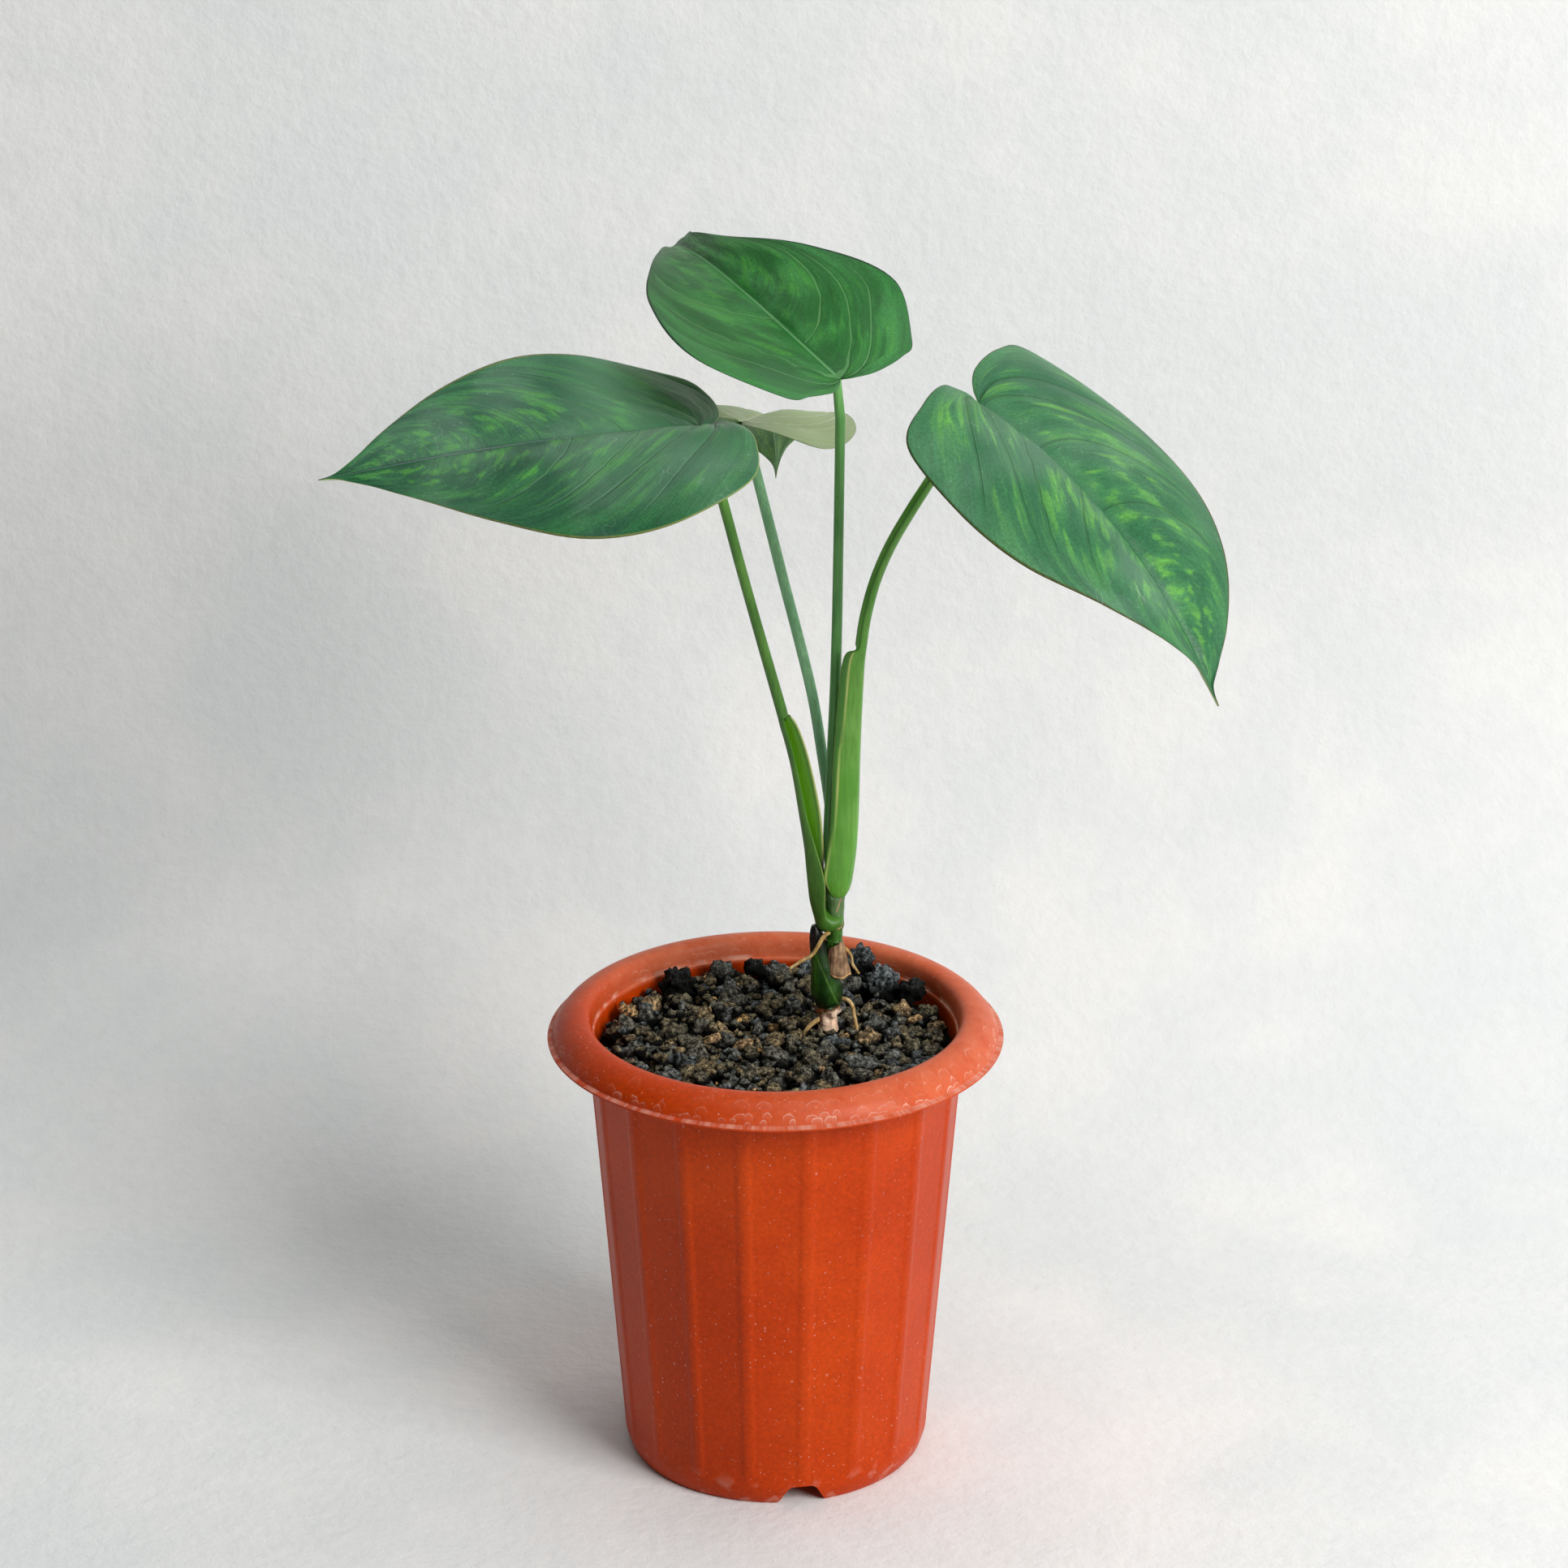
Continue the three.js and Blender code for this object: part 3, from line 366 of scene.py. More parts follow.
tools = [cutter(turn) for turn in (10, 130, 250)] + [drain(5, 0, 0)]
tools += [drain(4, 30 * math.cos(math.radians(a)), 30 * math.sin(math.radians(a))) for a in range(0, 360, 60)]
for tool in tools:
    cut = pot.modifiers.new("cut", "BOOLEAN")
    cut.object = tool
    cut.solver = "EXACT"
    bpy.context.view_layer.objects.active = pot
    bpy.ops.object.modifier_apply(modifier="cut")
    bpy.data.objects.remove(tool)
bpy.ops.object.select_all(action="DESELECT")
pot.select_set(True)
bpy.ops.object.shade_smooth_by_angle(angle=math.radians(38))

shader, spot = new_material("terracotta_plastic", (196, 66, 26), pot)
place = parts_of(add("ShaderNodeMapping", {"Vector": spot, "Location": (-axis.x, -axis.y, 0)}).outputs["Vector"])
height = place["Z"]
from_axis = add("ShaderNodeVectorMath", {0: joined(place["X"], place["Y"])}, operation="LENGTH").outputs["Value"]
around = product(calc("ARCTAN2", place["X"], product(place["Y"], -1.0)), rim_reach)
plastic = ramp(grain(spot, 16, 5, 0.6), (0.3, (180, 54, 2)), (0.5, (191, 60, 4)), (0.7, (201, 69, 8)))

jitter = product(less(grain(spot, 520, 2), 0.5), 0.0012)
at_height = total(height, jitter)
at_turn = total(around, jitter)
outside = between(from_axis, 0.066, 0.069)
worn = between(grain(spot, 55, 3), 0.44, 0.6)
sunny = between(place["X"], -0.03, 0.05, 0.55, 1)
flakes = 0.0
for level, scale, shown, shift in scallop_rows:
    row = placed(scallops, Along=total(at_turn, shift), Height=at_height, Level=level, Scale=scale)
    drawn = total(product(row["Line"], 0.9 * shown), product(row["Film"], 0.13 * shown))
    flakes = most(drawn, flakes)
flakes = product(flakes, outside, sunny, between(worn, 0, 1, 0.4, 1))
inner = placed(scallops, Along=at_turn, Height=at_height, Level=0.1512, Scale=120)["Line"]
flakes = most(flakes, product(inner, between(from_axis, 0.066, 0.062), 0.3, worn))
dashes = between(grain(joined(product(around, 170.0), 0.0), 1.0, 4, 0.7), 0.4, 0.6)
lip_scale = product(
    dashes, between(apart(height, 0.14905), 0.00055, 0.0002), between(from_axis, 0.0715, 0.0728), 0.42)
ledge_line = product(
    between(from_axis, 0.0608, 0.0602), between(height, 0.149, 0.1496), between(height, 0.1512, 0.1502),
    between(grain(spot, 120, 4), 0.42, 0.6), 0.5)
dots = most(product(speckled(spot, 620, 0.22, 0.5), 0.46), product(speckled(spot, 260, 0.17, 0.5), 0.36))
dots = product(dots, between(grain(spot, 26, 3), 0.35, 0.65, 0.3, 1))
foot_scale = product(between(grain(spot, 150, 4), 0.55, 0.66), between(height, 0.012, 0.004), 0.22)
lime = most(dots, flakes, lip_scale, foot_scale, ledge_line)
faded = most(between(place["Y"], -0.01, 0.06, 0, 0.6), between(place["X"], -0.05, 0.05, 0, 0.42))
bleached = product(faded, between(height, 0.1478, 0.1495), between(grain(spot, 90, 5, 0.7), 0.25, 0.7, 0.5, 1.1))
weathered = shaded(plastic, ramp(grain(spot, 700, 4, 0.7), (0.34, 0.86), (0.66, 1.12)))
tint = mixed(bleached, weathered, (232, 136, 100))
tint = mixed(lime, tint, (236, 190, 172))
dress(shader, tint, between(lime, 0, 0.6, 0.4, 0.62), [
    (grain(spot, 1400, 2), 0.00003), (grain(spot, 70, 3), 0.0002), (lime, 0.0001),
], coat=0.02, gloss=0.12)
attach(pot, "root")
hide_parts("pot")

# The soil is loose volcanic grit, filled to just under the pot's ledge. Its lumps are rough and full of
# small bubbles: most are grey-brown, the biggest are slate grey, and a few are tan. The black between them is
# painted shade: the lower part of each lump and the bed under them are painted near black.

grit_level = 144.2
grit_reach = 57.6
grit_top = 150.5
stem_foot = Vector((17, 5))
big_lumps = [
    (29, 47, 152.6, 4.9, 0.14), (29, 47, 147, 5.2, 0.1), (37, 36, 148.6, 6.2, 0.2), (46, 28.5, 151.2, 4.4, 0.04),
    (-32.5, 38, 148.6, 5.4, 0.03), (-7.5, 50.5, 149.6, 3.4, 0.04), (-18.3, 47, 148.4, 4.2, 0.3),
    (-42.5, 21, 146.8, 3.6, 0.74), (-9.6, -11, 147.2, 3.5, 0.8), (-21.5, -27, 147, 4.2, 0.6),
    (29.5, -5, 147.2, 4.1, 0.68), (42.5, 18, 147.2, 3.5, 0.7), (46, 12.5, 146.8, 2.6, 0.84),
    (-34, 1, 146.6, 4.6, 0.42), (-29, -9, 146.8, 4.6, 0.4), (-26, -18, 146.2, 4.2, 0.36),
    (0.5, -18, 146.4, 4.8, 0.34), (12.7, -24, 146.4, 4.6, 0.42), (28.5, -23, 146.2, 4.8, 0.28),
    (-8.5, -33, 146, 4.4, 0.4), (19, -37, 146, 4.6, 0.34), (20, -6, 147.4, 3.6, 0.2), (5, 20, 146.2, 4.2, 0.3),
    (-14, 27, 146.2, 4.4, 0.36), (44, -10, 146, 4.2, 0.42), (-46, -12, 146, 4.4, 0.3), (33, 8, 146.8, 3.8, 0.3),
]
lump_sizes = [(90, 2.9, 4.2), (170, 2.0, 2.9), (380, 1.0, 1.9)]
lump_stretch = ((0.85, 1.2), (0.8, 1.1), (0.75, 1.05))
draw = random.Random(7)


def lump_mould(number, subdivisions, rugged):
    """A ball of few faces, pushed out into a craggy lump."""
    mould = fresh(bpy.ops.mesh.primitive_ico_sphere_add, subdivisions=subdivisions, radius=1)
    mould.name = f"lump_mould_{number}"
    shift = Vector((7.3 * number, 3.1 * number, 1.7))
    for corner in mould.data.vertices:
        at = corner.co.copy()
        push = sum(size * noise.noise(at * scale + shift) for size, scale in rugged)
        corner.co = at * (1 + push)
    for key in ("tone", "lit"):
        mould.data.attributes.new(key, "FLOAT", "POINT")
    bpy.ops.object.shade_smooth()
    return mould


def lay_lumps():
    """Places each lump where it lies on the grit or on bigger lumps under it."""
    laid = [(Vector((x, y)), r, z, tone) for x, y, z, r, tone in big_lumps]
    for count, small, large in lump_sizes:
        found = tries = 0
        while found < count and tries < 9000:
            tries += 1
            r = draw.uniform(small, large)
            out = (grit_reach - r) * math.sqrt(draw.random())
            turn = draw.uniform(0, 2 * math.pi)
            at = Vector((out * math.cos(turn), out * math.sin(turn)))
            if (at - stem_foot).length < 3.6 + r:
                continue
            close = [(other - at, size, z) for other, size, z, _ in laid if (other - at).length < 0.86 * (size + r)]
            level = grit_level + 0.1 * r
            if close:
                if draw.random() > 0.12 or r > 2.8:
                    continue
                level = max(z + math.sqrt(max(size * size - off.length_squared, 0)) for off, size, z in close)
                if level + r > grit_top:
                    continue
            tone = 0.1 + 0.6 * draw.betavariate(2.2, 2.2) if draw.random() > 0.03 else draw.uniform(0.75, 1)
            laid.append((at, r, level + draw.uniform(0.0, 0.8) * r, tone))
            found += 1
    return laid


def grit_corner(column, row):
    r, z = grit_rings[row]
    turn = 2 * math.pi * column / grit_columns
    x, y = r * math.cos(turn), r * math.sin(turn)
    if z == grit_level:
        z += 1.3 * noise.noise(Vector((x, y, 0)) * 0.16) - 1.2
    return x, y, z


grit_columns = 96
grit_rings = [(0, 10.3), (30, 10.3), (wall_inside(10) - 1.9, 10.3), (wall_inside(12) - 0.6, 12)]
grit_rings += [(wall_inside(z) - 0.6, z) for z in (50, 100, 143)]
grit_rings += [(wall_inside(143) - 0.7 - k * 3.2, grit_level) for k in range(18)] + [(0, grit_level)]
bed = lattice("soil_bed", grit_columns, len(grit_rings) - 1, grit_corner)
for key in ("tone", "lit"):
    bed.data.attributes.new(key, "FLOAT", "POINT")
mould_kinds = [
    (4.8, 4, 5, ((0.5, 1.2), (0.34, 2.4), (0.2, 5), (0.1, 11))), (3.7, 6, 4, ((0.6, 1.1), (0.36, 2.4), (0.18, 5.5))),
    (2.1, 6, 3, ((0.7, 1.1), (0.4, 2.6), (0.12, 6))), (0, 6, 2, ((0.7, 1.1), (0.4, 2.2))),
]
moulds = []
for least, count, subdivisions, rugged in mould_kinds:
    made = sum(len(group) for _, group in moulds)
    moulds.append((least, [lump_mould(made + k, subdivisions, rugged) for k in range(count)]))
grit = [bed]
for at, r, z, tone in lay_lumps():
    lump = draw.choice(next(group for least, group in moulds if r > least)).copy()
    lump.data = lump.data.copy()
    bpy.context.collection.objects.link(lump)
    shape = Matrix.Diagonal([r * draw.uniform(*span) for span in lump_stretch] + [1])
    turned = Matrix.Rotation(draw.uniform(0, 6.3), 4, "Z") @ Matrix.Rotation(draw.uniform(0, 1.2), 4, "X")
    middle = Matrix.Translation(axis + mm * Vector((at.x, at.y, z)))
    lump.data.transform(middle @ Matrix.Scale(mm, 4) @ turned @ shape)
    # lit runs from 0 at the bottom of each lump to 1 at its top; it places the painted shade below.
    heights = [0.5 + (corner.co.z / mm - z) / r / 2 for corner in lump.data.vertices]
    lump.data.attributes["tone"].data.foreach_set("value", [tone] * len(heights))
    lump.data.attributes["lit"].data.foreach_set("value", heights)
    grit.append(lump)
for mould in [mould for _, group in moulds for mould in group]:
    bpy.data.objects.remove(mould)
bpy.ops.object.select_all(action="DESELECT")
for lump in grit:
    lump.select_set(True)
bpy.context.view_layer.objects.active = bed
bpy.ops.object.join()
soil = bed
soil.name = soil.data.name = "soil_grit"

shader, spot = new_material("volcanic_grit", (78, 72, 62), soil)
tone, lit = painted(spot, "tone"), painted(spot, "lit")
lump_tint = ramp(
    tone, (0.0, (26, 25, 23)), (0.08, (56, 58, 58)), (0.2, (104, 110, 112)), (0.42, (102, 95, 77)),
    (0.62, (130, 114, 85)), (0.78, (186, 152, 112)), (1.0, (198, 156, 96)))
pits = add("ShaderNodeTexVoronoi", {"Vector": spot, "Scale": 1150.0}).outputs["Distance"]
bubble_pits_and_shade = between(pits, 0.05, 0.5)
dusty = grain(spot, 640, 5, 0.7)
# The grain that makes the fine bumps also tints them: pale dust on the raised grain with a painted highlight there,
# and painted shade, down to near black, in its hollows.
tint = shaded(lump_tint, ramp(dusty, (0.38, 0.05), (0.5, 0.7), (0.63, 2.15)))
# Painted shade: each bubble's pit is painted darker towards its middle, as the shade inside it.
tint = shaded(tint, ramp(bubble_pits_and_shade, (0.0, 0.45), (0.6, 1.0)))
# Painted shade: each lump turns near black below about half its height, and so does the whole bed, whose lit stays 0,
# as the shade in the gaps between the lumps.
tint = mixed(between(lit, 0.55, 0.9, 0.0, 1), (3, 3, 2), tint)
dress(shader, tint, 0.95, [(dusty, 0.0011), (bubble_pits_and_shade, 0.0004)], gloss=0.2)
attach(soil, "root")
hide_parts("soil")

# The stem is short, green and jointed: each ring is the scar of a leaf that has gone. Its foot, just over
# the grit, is a bare stub of pinkish beige, where old skin has dried and split.

stem_rings = [
    (16.4, 5, 126, 2.2), (16.6, 5, 140, 3.2), (16.9, 5, 147.5, 3.2), (17.2, 5, 152.6, 2.9), (17.4, 5, 154, 3.7),
    (17.8, 5, 157.6, 3.9), (17.9, 5, 159.2, 3.0), (18.3, 5, 168, 2.7), (19.1, 5, 178.6, 2.5), (19.3, 5, 179.6, 2.9),
    (19.4, 5, 180.8, 2.5), (19.6, 5, 185.6, 2.9), (19.7, 5, 187, 2.7), (19.8, 5, 193.6, 2.9), (19.5, 5, 195.6, 3.3),
    (19.3, 5, 199.2, 3.3),
]

fibres, got = new_group(
    "fibres", dict(Vector=None, Across=900.0, Along=70.0, Dark=0.7, Light=1.2), dict(Height=0.0, Shade=()))
lines = parts_of(got["Vector"])
ways = dict(X="Across", Y="Across", Z="Along")
run = grain(joined(*(product(lines[key], got[way]) for key, way in ways.items())), 1.0, 3)
shade = between(run, 0.3, 0.7, got["Dark"], got["Light"], "LINEAR")
add("NodeGroupOutput", {"Height": run, "Shade": joined(shade, shade, shade)})

ragged, got = new_group("ragged_height", dict(Vector=None, Depth=0.004), dict(Height=0.0))
wander = product(less(grain(got["Vector"], 260, 3), 0.5), got["Depth"])
add("NodeGroupOutput", {"Height": total(parts_of(got["Vector"])["Z"], wander)})

slant_line, got = new_group(
    "slant_line", dict(Vector=None, Slope=0.4, Place=0.0, Edge=0.0005, Core=0.0001), dict(Mask=0.0))
spots = parts_of(got["Vector"])
off = apart(total(spots["X"], product(spots["Z"], got["Slope"])), got["Place"])
add("NodeGroupOutput", {"Mask": between(off, got["Edge"], got["Core"])})

box_patch, got = new_group("box_patch", dict(Vector=None, Low=None, High=None, Soft=0.0006), dict(Mask=0.0))
spots, lows, highs = (parts_of(got[key]) for key in ("Vector", "Low", "High"))
borders = []
for key in "XYZ":
    for inner, outer in ((spots[key], lows[key]), (highs[key], spots[key])):
        borders.append(between(calc("DIVIDE", less(inner, outer), got["Soft"]), -1, 1))
add("NodeGroupOutput", {"Mask": product(*borders)})


def patch(spot, low, high, soft=0.0006):
    """Marks the surface between two corners, given in millimetres from the pot's axis, with soft borders."""
    low, high = axis + mm * Vector(low), axis + mm * Vector(high)
    return placed(box_patch, Vector=spot, Low=low, High=high, Soft=soft)["Mask"]


def slanting(spot, x, z, slope, edge, core):
    """Marks a thin line that leans over, by slope, on its way through a point given in millimetres."""
    place = axis.x + mm * (x + slope * z)
    return placed(slant_line, Vector=spot, Slope=slope, Place=place, Edge=edge, Core=core)["Mask"]


def swept(name, stations, section, opens=(1, 0, 0), marks=None):
    """Stands a section across each station of a route, its first axis turned towards opens, and caps the ends."""
    rings = []
    for k, station in enumerate(stations):
        here = Vector(station[:3])
        before, after = stations[max(k - 1, 0)], stations[min(k + 1, len(stations) - 1)]
        along = (Vector(after[:3]) - Vector(before[:3])).normalized()
        first = (Vector(opens) - along * along.dot(Vector(opens))).normalized()
        second = along.cross(first)
        rings.append([here + first * a + second * b for a, b in section(station)])
    count = len(rings[0])

    def mark(value):
        return lambda column, row: value(column % count, stations[row])

    return lattice(
        name, count, len(rings) - 1, lambda column, row: rings[row][column % count],
        marks={key: mark(value) for key, value in (marks or {}).items()}, capped=True)


def round_section(sides, wobble):
    """An oval whose radius wanders; wobble gives how far at each height."""
    def section(station):
        x, y, z, a = station[:4]
        b = station[4] if len(station) > 4 else a
        ring = []
        for k in range(sides):
            c, d = math.cos(2 * math.pi * k / sides), math.sin(2 * math.pi * k / sides)
            push = 1 + wobble(z) * noise.noise(Vector((1.6 * c, 1.6 * d, z * 0.45)))
            ring.append((a * c * push, b * d * push))
        return ring
    return section


stem = swept("stem_core", curved(stem_rings, 5), round_section(36, lambda z: 0.5 if z < 157 else 0.12))

shader, spot = new_material("stem_skin", (64, 96, 34), stem)
ragged_z = placed(ragged, Vector=spot, Depth=0.004)["Height"]
skin = ramp(
    between(ragged_z, 0.150, 0.200, bend="LINEAR"), (0.0, (246, 208, 178)), (0.1, (252, 222, 196)),
    (0.12, (120, 72, 36)), (0.14, (22, 56, 12)), (0.2, (24, 62, 12)), (0.42, (40, 84, 18)), (0.56, (40, 84, 16)),
    (0.6, (52, 100, 22)), (0.7, (58, 108, 26)), (0.76, (84, 120, 60)), (0.9, (96, 128, 84)), (1.0, (60, 96, 44)))
torn = product(patch(spot, (10, 0, 150), (15.6, 9, 156.5)), between(grain(spot, 420, 3), 0.4, 0.5))
skin = mixed(torn, skin, (104, 58, 30))
nicks = product(speckled(spot, 420, 0.3, 0.3), patch(spot, (10, -5, 158), (30, 12, 183)))
ring_scar = product(patch(spot, (19.2, -5, 184.6), (24, 12, 187.4)), between(grain(spot, 500, 3), 0.45, 0.55))
long_scar = product(
    slanting(spot, 20.2, 191.5, -0.33, 0.0004, 0.00015), patch(spot, (17, -5, 190.6), (24, 5, 196.6), 0.0004), 0.8)
skin = mixed(most(nicks, ring_scar, long_scar), skin, (176, 138, 104))
thread = placed(fibres, Vector=spot, Across=900, Along=90, Dark=0.72, Light=1.2)
dress(shader, shaded(skin, thread["Shade"]), 0.45, [
    (thread["Height"], 0.0003), (grain(spot, 700, 4), 0.0004),
], gloss=0.4)
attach(stem, "root")
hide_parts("stem")

# The old sheath is all that is left of an earlier leaf: a dark green half-tube that wraps the foot of the
# stem, with a slanting pale margin, and a black dead end at its upper left.

sheath_rings = [
    (17.6, 4.4, 157.4, 3.8, 3.8), (17.2, 4.2, 160.2, 5.0, 4.6), (16.3, 3.9, 166, 4.8, 4.4),
    (15.3, 3.6, 172, 3.7, 3.7), (14.3, 3.5, 177, 2.9, 3.1), (13.6, 3.4, 181, 2.5, 2.6),
    (13.1, 3.2, 183.6, 1.9, 2.1), (12.8, 3.2, 185.6, 1.0, 1.2),
]
old_sheath = swept("old_sheath_wrap", curved(sheath_rings, 5), round_section(40, lambda z: 0.1))

shader, spot = new_material("old_sheath_skin", (18, 44, 12), old_sheath)
ragged_z = placed(ragged, Vector=spot, Depth=0.003)["Height"]
skin = ramp(
    between(ragged_z, 0.156, 0.188, bend="LINEAR"), (0.0, (22, 40, 10)), (0.08, (12, 40, 6)), (0.35, (22, 62, 10)),
    (0.6, (20, 54, 8)), (0.7, (10, 20, 5)), (0.78, (6, 5, 3)))
green_part = between(parts_of(spot)["Z"], 0.178, 0.173)
skin = mixed(product(patch(spot, (11.2, -5, 161), (13.6, 5, 176), 0.0012), 0.75), skin, (52, 112, 20))
skin = mixed(product(patch(spot, (17.6, -5, 159), (20.2, 5, 167), 0.0012), 0.6), skin, (48, 96, 24))
fold_line = slanting(spot, 17.4, 166, 0.42, 0.0005, 0.0001)
skin = mixed(product(fold_line, green_part, 0.5), skin, (96, 132, 60))
skin = mixed(product(speckled(spot, 300, 0.22, 0.12), green_part, 0.8), skin, (182, 150, 100))
thread = placed(fibres, Vector=spot, Across=1100, Along=70, Dark=0.7, Light=1.3)
dress(shader, shaded(skin, thread["Shade"]), 0.42, [(thread["Height"], 0.0003)], gloss=0.4)
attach(old_sheath, "root")
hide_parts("old_sheath")

# The husk is a dead scale leaf, dry and brown as paper, that still clasps the stem's right side. It is
# thinner at its curled lower margin, which is paler and ends in a point.

husk_at, husk_columns, husk_rows = (19.2, 4.6), 30, 26


def husk_corner(column, row):
    t, s = column / husk_columns, row / husk_rows
    turn = math.radians(-150 + 148 * (0.5 + (t - 0.5) * (1 - 0.45 * s)))
    low = 167.5 + 3.2 * (1 - t) ** 2 + 0.5 * math.sin(9 * t)
    z = low + (180.6 - 2.5 * (1 - t) - low) * s
    r = 4.1 + 1.6 * (1 - s) * t - 0.5 * s + 0.25 * noise.noise(Vector((5 * t, 4 * s, 2))) + 0.15 * math.sin(22 * t)
    return husk_at[0] + r * math.cos(turn), husk_at[1] + r * math.sin(turn), z


husk = lattice("husk_scale", husk_columns, husk_rows, husk_corner, marks={
    "low": lambda column, row: 1 - row / husk_rows, "left": lambda column, row: 1 - column / husk_columns})
wall = husk.modifiers.new("wall", "SOLIDIFY")
wall.thickness = 0.35 * mm
wall.offset = -1
bpy.context.view_layer.objects.active = husk
bpy.ops.object.modifier_apply(modifier="wall")

shader, spot = new_material("husk_paper", (150, 120, 92), husk)
thread = placed(fibres, Vector=spot, Across=1300, Along=110, Dark=0.62, Light=1.25)
blotches = grain(spot, 330, 3)
tint = mixed(between(blotches, 0.35, 0.65), (176, 142, 108), (128, 98, 72))
tint = mixed(between(painted(spot, "left"), 0.45, 0.95), tint, (84, 54, 36))
tint = mixed(between(painted(spot, "low"), 0.91, 0.97), tint, (222, 176, 120))
dress(shader, shaded(tint, thread["Shade"]), 0.7, [(thread["Height"], 0.0005), (blotches, 0.0006)], gloss=0.3)
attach(husk, "root")
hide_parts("husk")

# The aerial roots are thin, woody and tan. Each leaves the stem at a ring, bends over and tapers: two end
# in the air, where they have dried, and two go into the grit.

root_routes = {
    "root_left": ((0.75, 0.5), [
        (17.6, 1.9, 183.6), (15.6, 0.4, 182.6), (13.5, -1.6, 179.4), (11.4, -2.4, 177), (8.1, -3, 175.3),
        (4.6, -3.8, 173.2)]),
    "root_right": ((0.55, 0.4), [
        (22.6, 3.6, 177.4), (23.6, 3.2, 176.6), (24.9, 3.2, 174.4), (25.2, 3.2, 172), (26.4, 2.8, 170),
        (27.4, 2.6, 168.6)]),
    "root_low": ((0.7, 0.5), [
        (20.4, 4.8, 158.9), (21.9, 4.4, 158.8), (24, 3.2, 158.6), (25.4, 2, 156.8), (26, 1.2, 153.6),
        (26.8, 0, 149.6), (27.1, -0.4, 145.4)]),
    "root_foot": ((0.9, 0.6), [
        (15, 4, 152), (13.6, 3.4, 151.4), (11.6, 2.4, 150.2), (9.9, 1.6, 148.2), (8.6, 1, 144.6)]),
}
roots = []
for name, ((thick, thin), route) in root_routes.items():
    line = curved(route, 6)
    stations = [(*at, thick + (thin - thick) * k / (len(line) - 1)) for k, at in enumerate(line)]
    root = swept(name + "_strand", stations, round_section(14, lambda z: 0.3), (0, 1, 0.2))
    roots.append(root)
    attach(root, "root")
    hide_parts(name)
shader, spot = new_material("root_skin", (176, 142, 88), *roots)
thread = placed(fibres, Vector=spot, Across=900, Along=500, Dark=0.6, Light=1.2)
tint = mixed(between(grain(spot, 300, 3), 0.35, 0.65), (172, 136, 76), (206, 176, 122))
dress(shader, shaded(tint, thread["Shade"]), 0.75, [(thread["Height"], 0.0003)], gloss=0.3)

# The blades are thin and leathery, heart-shaped with a long drip tip. The midrib and the curved side veins
# are sunk on top, so the green between them stands up in soft quilts, and they stand out as ribs underneath.
# The blade at the back shows its pale underside.

blades = {
    "left": dict(
        joint=(-23.9, -15, 361.6), length=120.4, pitch=(2.7, -8.8), droop=1, heading=(196.5, 196.3), roll=(13, -38),
        fold=(0.256, 0.251), curl=(1.365, -0.475), half=(0.429, 0.315), lobe=(0.086, 0.086), place=(-0.01, -0.01),
        middle=(1.047, 1.047), feet=((0, 0.16, 0.34, 0.54, 0.76), (0, 0.2, 0.42, 0.62, 0.82))),
    "back": dict(
        joint=(-10.7, 35, 348.3), length=102.4, pitch=(-12.7, -84.2), droop=3.285, heading=(78.3, 88.2),
        roll=(5, -25.4), fold=(0.254, -0.05), curl=(0.458, 0.362), half=(0.355, 0.322), lobe=(0.12, 0.121),
        place=(0.066, 0.066), middle=(0.84, 0.84), feet=((0, 0.2, 0.4, 0.6, 0.8), (0, 0.2, 0.4, 0.6, 0.8))),
    "top": dict(
        joint=(20.4, 5, 371.4), length=116.8, pitch=(32.6, -26.3), droop=1.459, heading=(147.7, 95.5),
        roll=(-0.1, -28.9), fold=(0.221, 0.263), curl=(0.103, 0.249), half=(0.41, 0.37), lobe=(0.047, 0.045),
        place=(0.008, 0.011), middle=(0.643, 0.437), shoulder=(0.804, 0.781), tip=(0.718, 1.114), veins=1,
        feet=((0, 0.26, 0.52, 0.72, 0.88), (0, 0.14, 0.42, 0.66, 0.84))),
    "right": dict(
        joint=(63.6, -10, 367.4), length=122, pitch=(-27, -61.5), droop=1, heading=(-22.9, -41), roll=(-6.6, -9.8),
        fold=(0.397, 0.44), curl=(0.579, 1.541), half=(0.444, 0.44), lobe=(0.081, 0.081), place=(0.051, 0.051),
        middle=(1.099, 1.099), drip=((0.9, 0.125), (0.945, 0.018)),
        feet=((0, 0.19, 0.42, 0.62, 0.82), (0, 0.12, 0.34, 0.56, 0.78))),
}
blade_rows, blade_across = 110, 40
midrib_steps = 60
blade_thick, quilt_rise, ripple_rise, midrib_sink, midrib_keel, vein_rib = 0.5, 1.1, 0.5, 0.6, 1.2, 0.28
vein_sweep, vein_bend = 0.56, 1.8
lobe_veins = 1 / math.radians(29)


